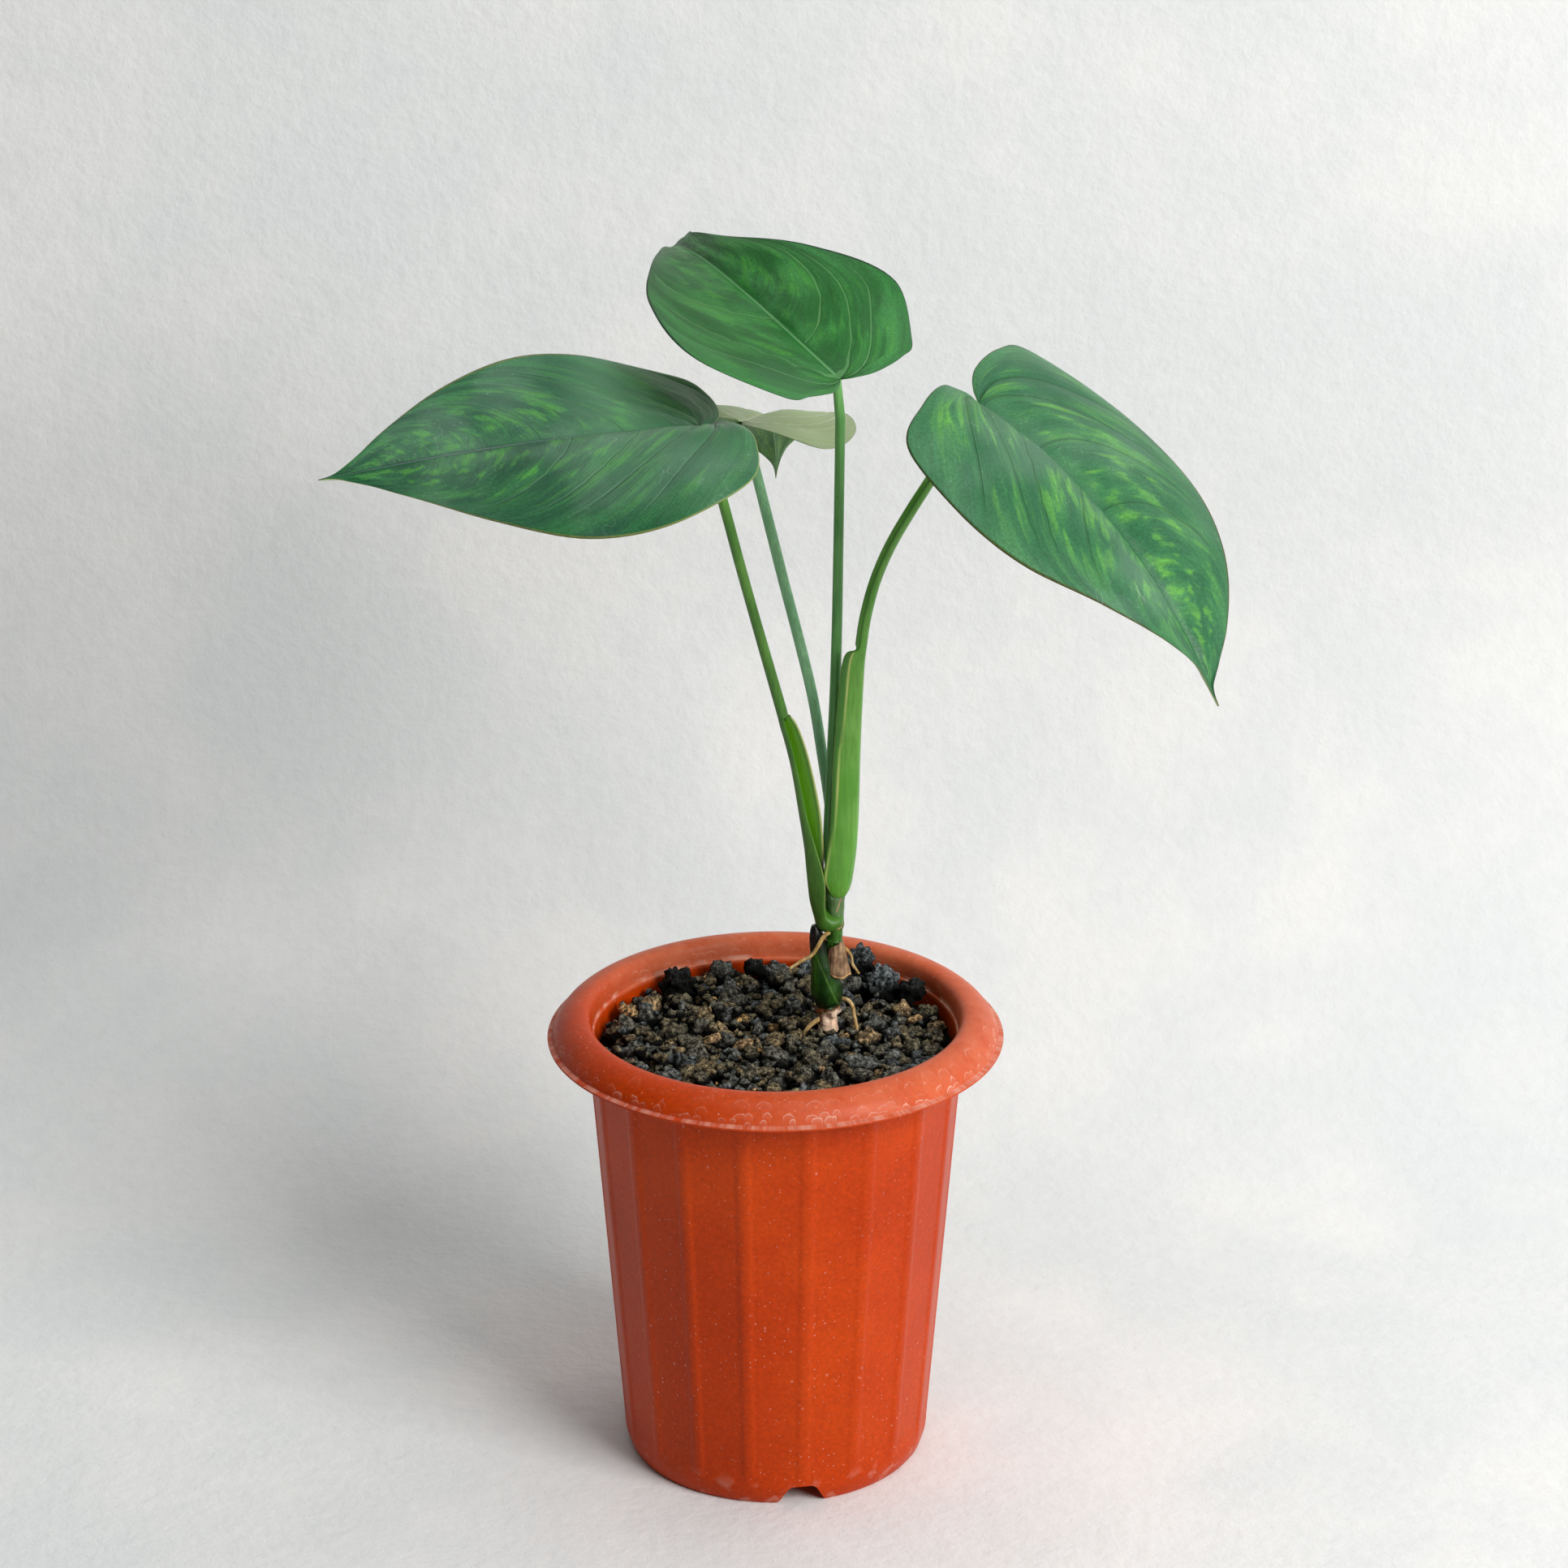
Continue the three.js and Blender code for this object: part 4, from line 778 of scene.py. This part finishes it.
def midrib(pose):
    """The midrib's places and frames, from the joint to the tip."""
    def heading_at(u):
        rise = math.radians(pose["pitch"][0] + (pose["pitch"][1] - pose["pitch"][0]) * u ** pose["droop"])
        turn = math.radians(pose["heading"][0] + (pose["heading"][1] - pose["heading"][0]) * u)
        return Vector((math.cos(rise) * math.cos(turn), math.cos(rise) * math.sin(turn), math.sin(rise))), turn

    places = [Vector(pose["joint"])]
    for k in range(midrib_steps):
        places.append(places[-1] + heading_at((k + 0.5) / midrib_steps)[0] * pose["length"] / midrib_steps)

    def place(u):
        at = min(max(u, 0), 1) * midrib_steps
        low = min(int(at), midrib_steps - 1)
        return places[low].lerp(places[low + 1], at - low) + heading_at(0)[0] * min(u, 0) * pose["length"]

    def frame_at(u):
        ease = 0.16
        u = 0 if u < -ease else (u + ease) ** 2 / 4 / ease if u < ease else min(u, 1)
        along, turn = heading_at(u)
        lean = math.radians(pose["roll"][0] + (pose["roll"][1] - pose["roll"][0]) * u)
        level = Vector((-math.sin(turn), math.cos(turn), 0))
        up = along.cross(level).normalized()
        return along, level * math.cos(lean) + up * math.sin(lean), up * math.cos(lean) - level * math.sin(lean)

    return place, frame_at


def blade_surface(pose):
    place, frame_at = midrib(pose)

    def surface(u, v):
        _, side, normal = frame_at(u)
        half = 0 if v > 0 else 1
        rise = pose["fold"][half] * abs(v) - pose["curl"][half] * v * v
        return place(u) + side * v * pose["length"] + normal * rise * pose["length"]

    return surface


def half_outline(pose, side):
    """Half of the heart, from the notch at the joint round the lobe to the drip tip."""
    w, b, g, m = pose["half"][side], pose["lobe"][side], pose["place"][side], pose["middle"][side]
    shoulder, full = pose.get("shoulder", (0.9, 0.9))[side], pose.get("tip", (1, 1))[side]
    neck, thread = pose.get("drip", ((0.89, 0.12), (0.95, 0.025)))
    knots = [
        (0, 0), (-0.5 * b, 0.08 * w), (-0.97 * b, 0.28 * w), (-0.95 * b, 0.6 * w), (-0.35 * b, shoulder * w),
        (0.16 + g, w), (0.4 + g, 0.44 * w * (1 + m)), (0.62 + 0.7 * g, 0.6 * w * m),
        (0.8 + 0.4 * g, 0.3 * w * m * (0.7 + 0.3 * full)), (neck[0], neck[1] * w * full),
        (thread[0], thread[1] * w * full), (1, 0),
    ]
    return curved(knots, blade_rows // 11)


def vein_finder(pose, side, outline):
    """Numbers the side veins: 0 leaves the joint, 1 to 4 leave the midrib, and -1 and -2 run into the lobe."""
    widest = max(range(len(outline)), key=lambda k: outline[k][1])
    beyond = outline[widest:]
    reach = []
    k = 0
    for step in range(101):
        while k < len(beyond) - 2 and beyond[k + 1][0] < step / 100:
            k += 1
        (a, low), (b, high) = beyond[k], beyond[k + 1]
        share = min(max((step / 100 - a) / max(b - a, 1e-6), 0), 1)
        reach.append(max(low + (high - low) * share, 0.004))
    feet = pose["feet"][side]

    def number(u, v):
        at = min(max(u, 0), 0.999) * 100
        low = int(at)
        spread = min(1, abs(v) / (reach[low] + (reach[low + 1] - reach[low]) * (at - low))) ** vein_bend * vein_sweep
        foot = (u - spread) / (1 - spread)
        if foot < 0:
            return -lobe_veins * math.atan2(spread - u, abs(v) + 1e-6)
        for k in range(len(feet) - 1):
            if foot < feet[k + 1] or k == len(feet) - 2:
                return k + (foot - feet[k]) / (feet[k + 1] - feet[k])

    return number


def make_blade(name, pose):
    surface = blade_surface(pose)
    outlines = [half_outline(pose, 0), half_outline(pose, 1)]
    numbers = [vein_finder(pose, side, outlines[side]) for side in (0, 1)]
    length = pose["length"]
    cache = {}

    def layers(t, row):
        """Top, underside, vein number and its change per mm. t is 1 on the left margin and -1 on the right one."""
        if (t, row) in cache:
            return cache[t, row]
        s = row / blade_rows
        left, right = outlines[0][row], outlines[1][row]
        foot = max(0, (left[0] + right[0]) / 2 - 0.375 * (left[1] + right[1]))
        edge = left if t >= 0 else right
        a = abs(t)
        u = foot + (edge[0] - foot) * (0.45 * a + 0.55 * a ** 2.5)
        v = math.copysign(edge[1] * (1.3 * a - 0.3 * a * a), t)
        step = 0.004
        aside = step if v == 0 else step / 4
        ahead = surface(u + step, v) - surface(u - step, v)
        normal = ahead.cross(surface(u, v + aside) - surface(u, v - aside)).normalized()
        width = abs(v) * length
        number = numbers[0 if t >= 0 else 1]
        vein = number(u, v)
        pace = math.hypot(number(u + 0.01, v) - number(u - 0.01, v), number(u, v + 0.01) - number(u, v - 0.01))
        pace = min(max(pace / 0.02 / length, 0.012), 0.6)
        quilt = 1 - math.exp(-abs(vein - round(vein)) / pace / 2.6)
        fade = min(1, 5 * a) * (1 - a ** 3) * min(1, 4 * (1 - s)) * min(1, max(0, pose.get("veins", 2) + 1.2 - vein))
        end = min(1, 8 * (1 - s))
        ripple = ripple_rise * noise.noise(Vector((8 * s, 2.4 * t, length))) * min(1, 3 * a)
        wave = 0.5 * a ** 4 * math.sin(21 * s + 5 * t + length)
        relief = (quilt_rise * quilt * fade - 0.3 - midrib_sink * math.exp(-(width / 1.3) ** 2) + ripple + wave) * end
        keel = midrib_keel * math.exp(-(width / 1.5) ** 2) * (1 - 0.85 * max(u, 0)) * (1 - a)
        rib = vein_rib * max(0, 1 - 4 * quilt) * (1 - a) * min(1, width / 1.5)
        base = surface(u, v)
        under = base + normal * (relief - blade_thick + 0.2 * a ** 6 - keel - rib * end)
        cache[t, row] = (base + normal * relief, under, vein, pace)
        return cache[t, row]

    def share(column):
        """The columns go from the left margin over the top to the right margin, and back underneath."""
        return 1 - column / blade_across if column <= 2 * blade_across else column / blade_across - 3

    def corner(column, row):
        below = 2 * blade_across < column < 4 * blade_across
        return layers(share(column), row)[1 if below else 0]

    return lattice(
        "leaf_" + name + "_blade", 4 * blade_across, blade_rows, corner,
        picture=lambda column, row: (0.5 + 0.5 * share(column), (layers(share(column), row)[2] + 3) / 8),
        marks={
            "under": lambda column, row: float((2 * blade_across < column < 4 * blade_across) != (name == "back")),
            "along": lambda column, row: row / blade_rows,
            "pace": lambda column, row: layers(share(column), row)[3],
        },
        folded=True,
    )


blade_skin, got = new_group("blade_skin", dict(
    Picture=None, Position=None, Under=0.0, Along=0.0, Pace=0.05, Veins=2.0, Mottle=0.6, Line=0.5, Film=0.3,
    Dark=(), Mid=(), Bright=(), Vein=(), Rib=(), Margin=(), Tip=(), Back=(),
), dict(Colour=(), Roughness=0.4, Hair=0.0, Strokes=0.0, Groove=0.0))
spot, spread = got["Position"], parts_of(got["Picture"])
across, vein = spread["X"], less(product(spread["Y"], 8.0), 3.0)
reach = apart(product(across, 2.0), 1.0)
side = product(calc("GREATER_THAN", across, 0.5), 7.0)


def patterned(rows, columns):
    return joined(product(vein, rows), product(reach, columns), side)


blotch = grain(patterned(1.7, 2.6), 1.0, 2, 0.5, 0.4)
streak = grain(patterned(6.0, 4.0), 1.0, 2, 0.55, 0.5)
felt = grain(spot, 1100, 4, 0.7)
hair = grain(patterned(34.0, 3.0), 1.0, 3)
cloud = grain(spot, 34, 3)
tint = mixed(between(blotch, 0.35, 0.65), got["Dark"], got["Mid"])
zone = product(between(reach, 0.02, 0.12), between(reach, 0.98, 0.62), between(got["Along"], 0.92, 0.76))
shown = total(streak, product(less(blotch, 0.5), 0.6))
strokes = product(between(shown, 0.5, 0.7), zone)
tint = mixed(product(strokes, got["Mottle"]), tint, got["Bright"])
tint = mixed(product(between(shown, 0.46, 0.36), zone, 0.55), tint, got["Dark"])
tint = shaded(tint, ramp(hair, (0.3, 0.88), (0.7, 1.1)))
tint = shaded(tint, ramp(felt, (0.34, 0.76), (0.66, 1.24)))
off = apart(calc("FRACT", total(vein, 0.5)), 0.5)
gap = calc("DIVIDE", off, got["Pace"])
last_vein = between(less(vein, got["Veins"]), 0.9, 0.3, 0.06, 1)
on_side = product(between(vein, -2.7, -2.4), last_vein, between(reach, 0.97, 0.75))
side_line = product(between(gap, 0.5, 0.16), on_side)
side_shade = product(between(gap, 4.5, 0.4), on_side)
mid_line = between(reach, 0.017, 0.006)
tint = mixed(product(side_shade, 0.4), tint, got["Dark"])
# Painted shade: a band along the sunk midrib is painted darker, as the shade in its groove.
tint = mixed(product(between(reach, 0.07, 0.015), 0.5), tint, got["Dark"])
tint = mixed(product(side_line, got["Line"]), tint, got["Vein"])
tint = mixed(mid_line, tint, got["Rib"])
# Grey film in cloudy patches: partly dust on the blade and partly a painted sheen, standing for the grey reflection
# of the light.
tint = mixed(product(between(cloud, 0.42, 0.7), got["Film"]), tint, (132, 158, 142))
tint = mixed(product(between(reach, 0.982, 0.994), 0.85), tint, got["Margin"])
tint = mixed(between(got["Along"], 0.955, 0.985), tint, got["Tip"])
wander = apart(grain(spot, 120, 1), 0.5)
scratch = product(between(wander, 0.006, 0.002), between(grain(spot, 60, 2), 0.55, 0.62))
dusty = product(most(speckled(spot, 520, 0.2, 0.25), scratch), between(cloud, 0.36, 0.6), got["Film"])
tint = mixed(dusty, tint, (196, 212, 202))
pale = shaded(got["Back"], ramp(hair, (0.3, 0.9), (0.7, 1.1)))
pale = mixed(most(side_line, mid_line), pale, (196, 206, 166))
tint = mixed(calc("GREATER_THAN", got["Under"], 0.5), tint, pale)
add("NodeGroupOutput", {
    "Colour": tint, "Roughness": between(cloud, 0.35, 0.7, 0.38, 0.52), "Hair": hair, "Strokes": shown,
    "Groove": side_line,
})

# Film gives how much grey dust and painted sheen each blade carries.
leaf_looks = {
    "left": dict(
        Dark=(30, 82, 54), Mid=(48, 110, 64), Bright=(78, 154, 50), Vein=(72, 116, 90),
        Rib=(88, 108, 104), Margin=(150, 160, 90), Tip=(20, 54, 16), Mottle=0.6, Line=0.45, Film=0.2),
    "back": dict(
        Dark=(54, 100, 36), Mid=(80, 128, 50), Bright=(108, 154, 60), Vein=(104, 144, 96),
        Rib=(110, 150, 100), Margin=(84, 118, 50), Tip=(96, 122, 44), Mottle=0.3, Line=0.4, Film=0.2),
    "top": dict(
        Dark=(18, 86, 26), Mid=(42, 116, 48), Bright=(60, 138, 34), Vein=(104, 158, 98),
        Rib=(84, 140, 84), Margin=(34, 62, 44), Tip=(40, 92, 44), Mottle=0.45, Line=0.4, Film=0.08, Veins=1.0),
    "right": dict(
        Dark=(40, 98, 62), Mid=(60, 122, 72), Bright=(100, 168, 62), Vein=(34, 84, 50),
        Rib=(30, 80, 44), Margin=(106, 104, 48), Tip=(110, 96, 34), Mottle=0.6, Line=0.55, Film=0.2),
}
for name, pose in blades.items():
    leaf = make_blade(name, pose)
    shader, spot = new_material("leaf_" + name + "_skin", leaf_looks[name]["Mid"], leaf)
    marks = {key.title(): painted(spot, key) for key in ("under", "along", "pace")}
    skin = placed(
        blade_skin, Picture=spot.node.outputs["UV"], Position=spot, Back=(158, 177, 128), **marks, **leaf_looks[name])
    tint = skin["Colour"]
    # Painted light: on the left blade the upper lobe by the joint is painted lighter, where it turns away from the
    # lamps.
    if name == "left":
        lobe = patch(spot, (-62, -120, 358), (-8, 120, 410), 0.012)
        tint = mixed(product(lobe, 0.24), tint, (130, 184, 140))
    dress(shader, tint, skin["Roughness"], [
        (skin["Hair"], 0.00014), (skin["Strokes"], 0.0003), (grain(spot, 1400, 2), 0.00005),
        (skin["Groove"], -0.00025),
    ], gloss=0.24)
    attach(leaf, "root")
    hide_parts("leaf_" + name)

# The petioles carry the blades. Each is a round, smooth stalk that opens at its foot into a sheath: a
# trough with thin pale margins, which holds the next leaf's stalk while that leaf grows out of it.

stalks = {
    "left": dict(opens=(0.9, -0.43, 0), stations=[
        (18.6, 4.8, 184.9, 3.9), (17.8, 4.6, 186.8, 4.8), (16.5, 4.3, 189.4, 4.3, 0.5, 0, 0),
        (14.9, 3.8, 192.2, 3.3, 1, 1.4, 0.4), (13.5, 3.4, 195.6, 2.5, 1, 2.7, 0.9),
        (12.7, 3.0, 201, 2.25, 1, 3.4, 1.5), (12.2, 2.8, 207, 2.3, 1, 2.8, 1.9), (11.6, 2.5, 214, 2.35, 1, 1.4, 2.4),
        (9.8, 2.0, 226, 2.3, 1, 0.1, 3.2), (7.1, 1.4, 241, 1.95, 1, 0, 3.3), (4.9, 0.9, 250.5, 1.85, 1, 0, 3.0),
        (3.3, 0.5, 256.5, 1.85, 1, 0, 2.2), (2.6, 0.2, 259.4, 1.8, 0.7, 0, 0.8), (2.0, 0, 261.8, 1.8),
        (-3.6, -3, 283.7, 1.7), (-7.7, -5.6, 300, 1.65), (-11.6, -8.4, 316, 1.65), (-15.6, -11.2, 333, 1.65),
        (-19.2, -13.4, 347, 1.65), (-22.2, -14.7, 357, 1.7),
    ]),
    "back": dict(opens=(-1, 0, 0), stations=[
        (20.6, 7.0, 199.6, 1.5), (19.0, 9.0, 214, 1.7), (17.2, 10.2, 229, 1.75), (15.2, 11.6, 242.3, 1.75),
        (12.2, 14, 260.8, 1.75), (7.8, 18, 278.9, 1.75), (3.0, 22, 296.9, 1.75), (-1.6, 26.6, 314.5, 1.75),
        (-5.8, 31, 330.5, 1.7), (-9.2, 34, 342.5, 1.7),
    ]),
    "centre": dict(opens=(1, 0, 0), stations=[
        (18.3, 3.9, 199.6, 1.5), (17.6, 4.3, 206, 1.6), (17.2, 4.6, 214, 1.7), (17.6, 4.8, 226, 1.75),
        (18.5, 5, 248, 1.75), (19.2, 5, 266, 1.75), (19.7, 5, 286.3, 1.7), (20.0, 5, 308.2, 1.65),
        (20.3, 5, 335.3, 1.6), (20.5, 5, 358, 1.6),
    ]),
    "right": dict(opens=(-1, 0, 0), stations=[
        (20.3, 4.7, 195.2, 1.9, 1, 0, 0), (20.3, 4.7, 196, 2.8, 1, 0.2, 0), (20.4, 4.5, 197.8, 3.5, 1, 1.2, 0),
        (20.8, 4.4, 200, 3.9, 1, 2.6, 0), (21.2, 4.3, 203, 4.1, 1, 3.6, 0), (22.4, 4.1, 211, 3.9, 1, 3.8, 0),
        (23.4, 4.0, 220, 3.5, 1, 3.9, 0), (24.1, 3.7, 230, 3.1, 1, 4.3, 0), (24.8, 3.1, 243, 2.6, 1, 4.8, 0.2),
        (25.4, 2.2, 256, 2.35, 1, 4.6, 0.5), (26.0, 1.3, 267, 2.15, 1, 4.5, 0.7), (26.6, 0.4, 277, 2.0, 1, 4.3, 0.8),
        (27.1, -0.3, 282, 1.95, 1, 3.2, 0.4), (27.4, -0.7, 284.4, 1.9), (28.7, -1.9, 294.3, 1.9),
        (31.6, -3, 306.5, 1.85), (36.2, -4.1, 318.5, 1.85), (42.4, -5.6, 330.5, 1.85), (49.6, -7.2, 343, 1.8),
        (56.6, -8.8, 355, 1.75),
    ]),
}
outer_points, inner_points, opening = 9, 5, math.radians(62)
section_steps = 4


def stalk_section(station, mirrored):
    """A closed outline: round the back of the stalk from wing to wing, then through the trough between them.

    A station is a place, a radius, how far the trough opens, from 0 to 1, and how far its two wings reach.
    """
    _, _, _, radius, open_share, near, far = station
    if mirrored:
        near, far = far, near
    knots = []
    for k in range(outer_points):
        share = k / (outer_points - 1)
        turn = opening + (2 * math.pi - 2 * opening) * share
        reach = far * (1 - share * 4) if share < 0.5 else near * (share * 4 - 3)
        knots.append((radius * math.cos(turn) + max(reach, 0), radius * math.sin(turn)))
    hollow = 0.7 * radius
    for k in range(1, inner_points + 1):
        turn = opening * (2 * k / (inner_points + 1) - 1)
        wing = near if k == 1 else far
        if k in (1, inner_points):
            deep = (0.42 * hollow + wing - 0.2, 1.12 * hollow * math.sin(turn))
        else:
            deep = (-0.45 * hollow * math.cos(turn), 1.0 * hollow * math.sin(turn))
        shut = (radius * math.cos(turn), radius * math.sin(turn))
        knots.append(tuple(a + (b - a) * open_share for a, b in zip(shut, deep)))
    ring = curved([knots[-1], *knots, knots[0], knots[1]], section_steps)
    return ring[section_steps:-section_steps - 1]


def on_margin(column, station):
    """1 on the edge of a sheath's wing and 0 away from it."""
    knot = column / section_steps
    near = min(abs(knot - margin) for margin in (-0.5, outer_points - 0.5, outer_points + inner_points - 0.5))
    return min(station[4], 1) * max(0, 1 - near / 1.1)


def lap_knot(station):
    """Where the fold runs: out towards the sheath's left edge at the foot, further in higher up."""
    return 0.25 + 0.5 * min(max((station[2] - 200) / 70, 0), 1)


def lapped_margin(column, station):
    """Adds the line where the right sheath's front wing folds over its own margin."""
    near = abs(column / section_steps - lap_knot(station))
    lap = min(station[4], 1) * min(station[5] / 2, 1) * max(0, 1 - near / 0.36)
    return max(on_margin(column, station), lap)


def in_trough(column, station):
    inside = outer_points + 0.2 < column / section_steps < outer_points + inner_points - 1.2
    return min(station[4], 1) if inside else 0.0


# Marks the trough, and also the strip between the fold and the sheath's left edge, which is painted the right stalk's
# dark trough green: painted shade on the sheath's left side.
def lapped_trough_and_shade(column, station):
    return 1.0 if column / section_steps < lap_knot(station) - 0.1 else in_trough(column, station)


petiole_skin, got = new_group("petiole_skin", dict(
    Position=None, Margin=0.0, Inside=0.0, Base=(), Light=(), Hollow=(),
), dict(Colour=(), Roughness=0.4, Rise=0.0, Pores=0.0))
spot = got["Position"]
cloud = grain(spot, 45, 3)
thread = placed(fibres, Vector=spot, Across=1500, Along=40, Dark=0.82, Light=1.14)
tint = shaded(mixed(between(cloud, 0.35, 0.7), got["Base"], got["Light"]), thread["Shade"])
open_light = between(parts_of(spot)["Z"], 0.205, 0.225, 0.15, 0.9)
tint = mixed(product(got["Inside"], open_light), tint, got["Hollow"])
tint = mixed(between(got["Margin"], 0.55, 0.95, 0, 0.7), tint, (196, 198, 120))
tint = mixed(product(speckled(spot, 330, 0.16, 0.3), 0.35), tint, (60, 74, 24))
add("NodeGroupOutput", {
    "Colour": tint, "Roughness": between(cloud, 0.3, 0.7, 0.36, 0.46), "Rise": thread["Height"],
    "Pores": grain(spot, 500, 3),
})

stalk_looks = {
    "left": dict(Base=(60, 111, 27), Light=(86, 136, 48), Hollow=(90, 150, 14)),
    "back": dict(Base=(124, 180, 132), Light=(146, 198, 150), Hollow=(90, 130, 40)),
    "centre": dict(Base=(74, 136, 64), Light=(100, 160, 86), Hollow=(90, 130, 40)),
    "right": dict(Base=(84, 148, 40), Light=(112, 166, 70), Hollow=(58, 112, 34)),
}
leaf_of = {"left": "left", "back": "back", "centre": "top", "right": "right"}
for name, stalk in stalks.items():
    pose = blades[leaf_of[name]]
    along, side, up = midrib(pose)[1](0)
    joint = Vector(pose["joint"])
    stations = curved([(*station, 0, 0, 0)[:7] for station in stalk["stations"]], 5)
    stations = [(*s[:4], min(max(s[4], 0), 1), max(s[5], 0), max(s[6], 0)) for s in stations]
    last = Vector(stations[-1][:3])
    end = joint - up * 1.5 + along * 0.6
    for k in range(1, 7):
        w = k / 6
        stations.append((*last.lerp(end, w), stations[-1][3] * (1 - 0.04 * w), 0, 0, 0))
    mirrored = stalk["opens"][0] < 0
    marks = {"margin": on_margin, "inside": in_trough}
    if name == "right":
        marks = {"margin": lapped_margin, "inside": lapped_trough_and_shade}
    petiole = swept(
        "petiole_" + name + "_stalk", stations, lambda station: stalk_section(station, mirrored),
        stalk["opens"], marks)
    shader, spot = new_material("petiole_" + name + "_skin", stalk_looks[name]["Base"], petiole)
    marks = {key.title(): painted(spot, key) for key in ("margin", "inside")}
    skin = placed(petiole_skin, Position=spot, **marks, **stalk_looks[name])
    dress(shader, skin["Colour"], skin["Roughness"], [(skin["Rise"], 0.00014), (skin["Pores"], 0.0001)], gloss=0.4)
    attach(petiole, "root")
    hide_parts("petiole_" + name)

# The stage is a plain pale sheet that curves up from the floor into a wall behind the pot. It shows only its
# front, so a view from behind isn't blocked. The light is soft and comes mostly from the right. The camera
# stands a metre and a half in front, above the leaves, and looks down at them.

sweep_start, sweep_radius = 0.1, 0.22
sweep_line = [(-2.4, 0), (sweep_start - 0.15, 0)]
for k in range(25):
    turn = math.pi / 2 * k / 24
    sweep_line.append((sweep_start + sweep_radius * math.sin(turn), sweep_radius - sweep_radius * math.cos(turn)))
sweep_line.append((sweep_start + sweep_radius, 2.6))
stage = fresh(bpy.ops.mesh.primitive_grid_add, x_subdivisions=1, y_subdivisions=len(sweep_line) - 1, size=2)
stage.name = "stage_sheet"
for corner in stage.data.vertices:
    y, z = sweep_line[round((corner.co.y + 1) / 2 * (len(sweep_line) - 1))]
    corner.co = Vector((corner.co.x * 3, y, z))
bpy.ops.object.shade_smooth()
shader, spot = new_material("pale_sheet", (236, 237, 236), stage)
plaster = grain(spot, 170, 5, 0.6)
tint = mixed(between(grain(spot, 11, 4, 0.6), 0.35, 0.7), (228, 231, 231), (238, 238, 237))
dress(shader, shaded(tint, ramp(plaster, (0.3, 0.965), (0.7, 1.0))), 0.9, [(plaster, 0.0006)], gloss=0.2)
sheet = shader.id_data
one_sided = add("ShaderNodeMixShader", {
    0: add("ShaderNodeNewGeometry", tree=sheet).outputs["Backfacing"], 1: shader.outputs["BSDF"],
    2: add("ShaderNodeBsdfTransparent", tree=sheet).outputs["BSDF"],
})
sheet.links.new(one_sided.outputs["Shader"], sheet.nodes["Material Output"].inputs["Surface"])


def lamp(name, at, towards, size, power, tint=(1, 1, 1)):
    bpy.ops.object.light_add(type="AREA", location=at)
    light = bpy.context.object
    light.name = name
    light.rotation_euler = (Vector(towards) - Vector(at)).to_track_quat("-Z", "Y").to_euler()
    light.data.shape = "RECTANGLE"
    light.data.size, light.data.size_y = size
    light.data.energy = power
    light.data.color = tint


lamp("window_light", (1.3, -1.3, 1.3), (0, 0, 0.2), (1.1, 1.1), 43, (1, 0.99, 0.97))
lamp("top_light", (0.3, -0.5, 2.2), (0, 0, 0.2), (1.4, 1.4), 12.5, (0.96, 0.98, 1))
world = bpy.context.scene.world or bpy.data.worlds.new("soft_room")
bpy.context.scene.world = world
world.use_nodes = True
backdrop = world.node_tree.nodes["Background"].inputs
backdrop["Color"].default_value = (0.92, 0.96, 1, 1)
seen = add("ShaderNodeLightPath", tree=world.node_tree).outputs["Is Camera Ray"]
world.node_tree.links.new(between(seen, 0, 1, 0.03, 0.75, "LINEAR"), backdrop["Strength"])
bpy.context.scene.view_settings.view_transform = "Standard"

bpy.ops.object.camera_add(
    location=axis + mm * Vector((0, -1462, 810)), rotation=(math.radians(68.58), 0, math.radians(-0.11)))
camera = bpy.context.object
camera.data.sensor_width = 36
camera.data.lens = 111.8
bpy.context.scene.camera = camera
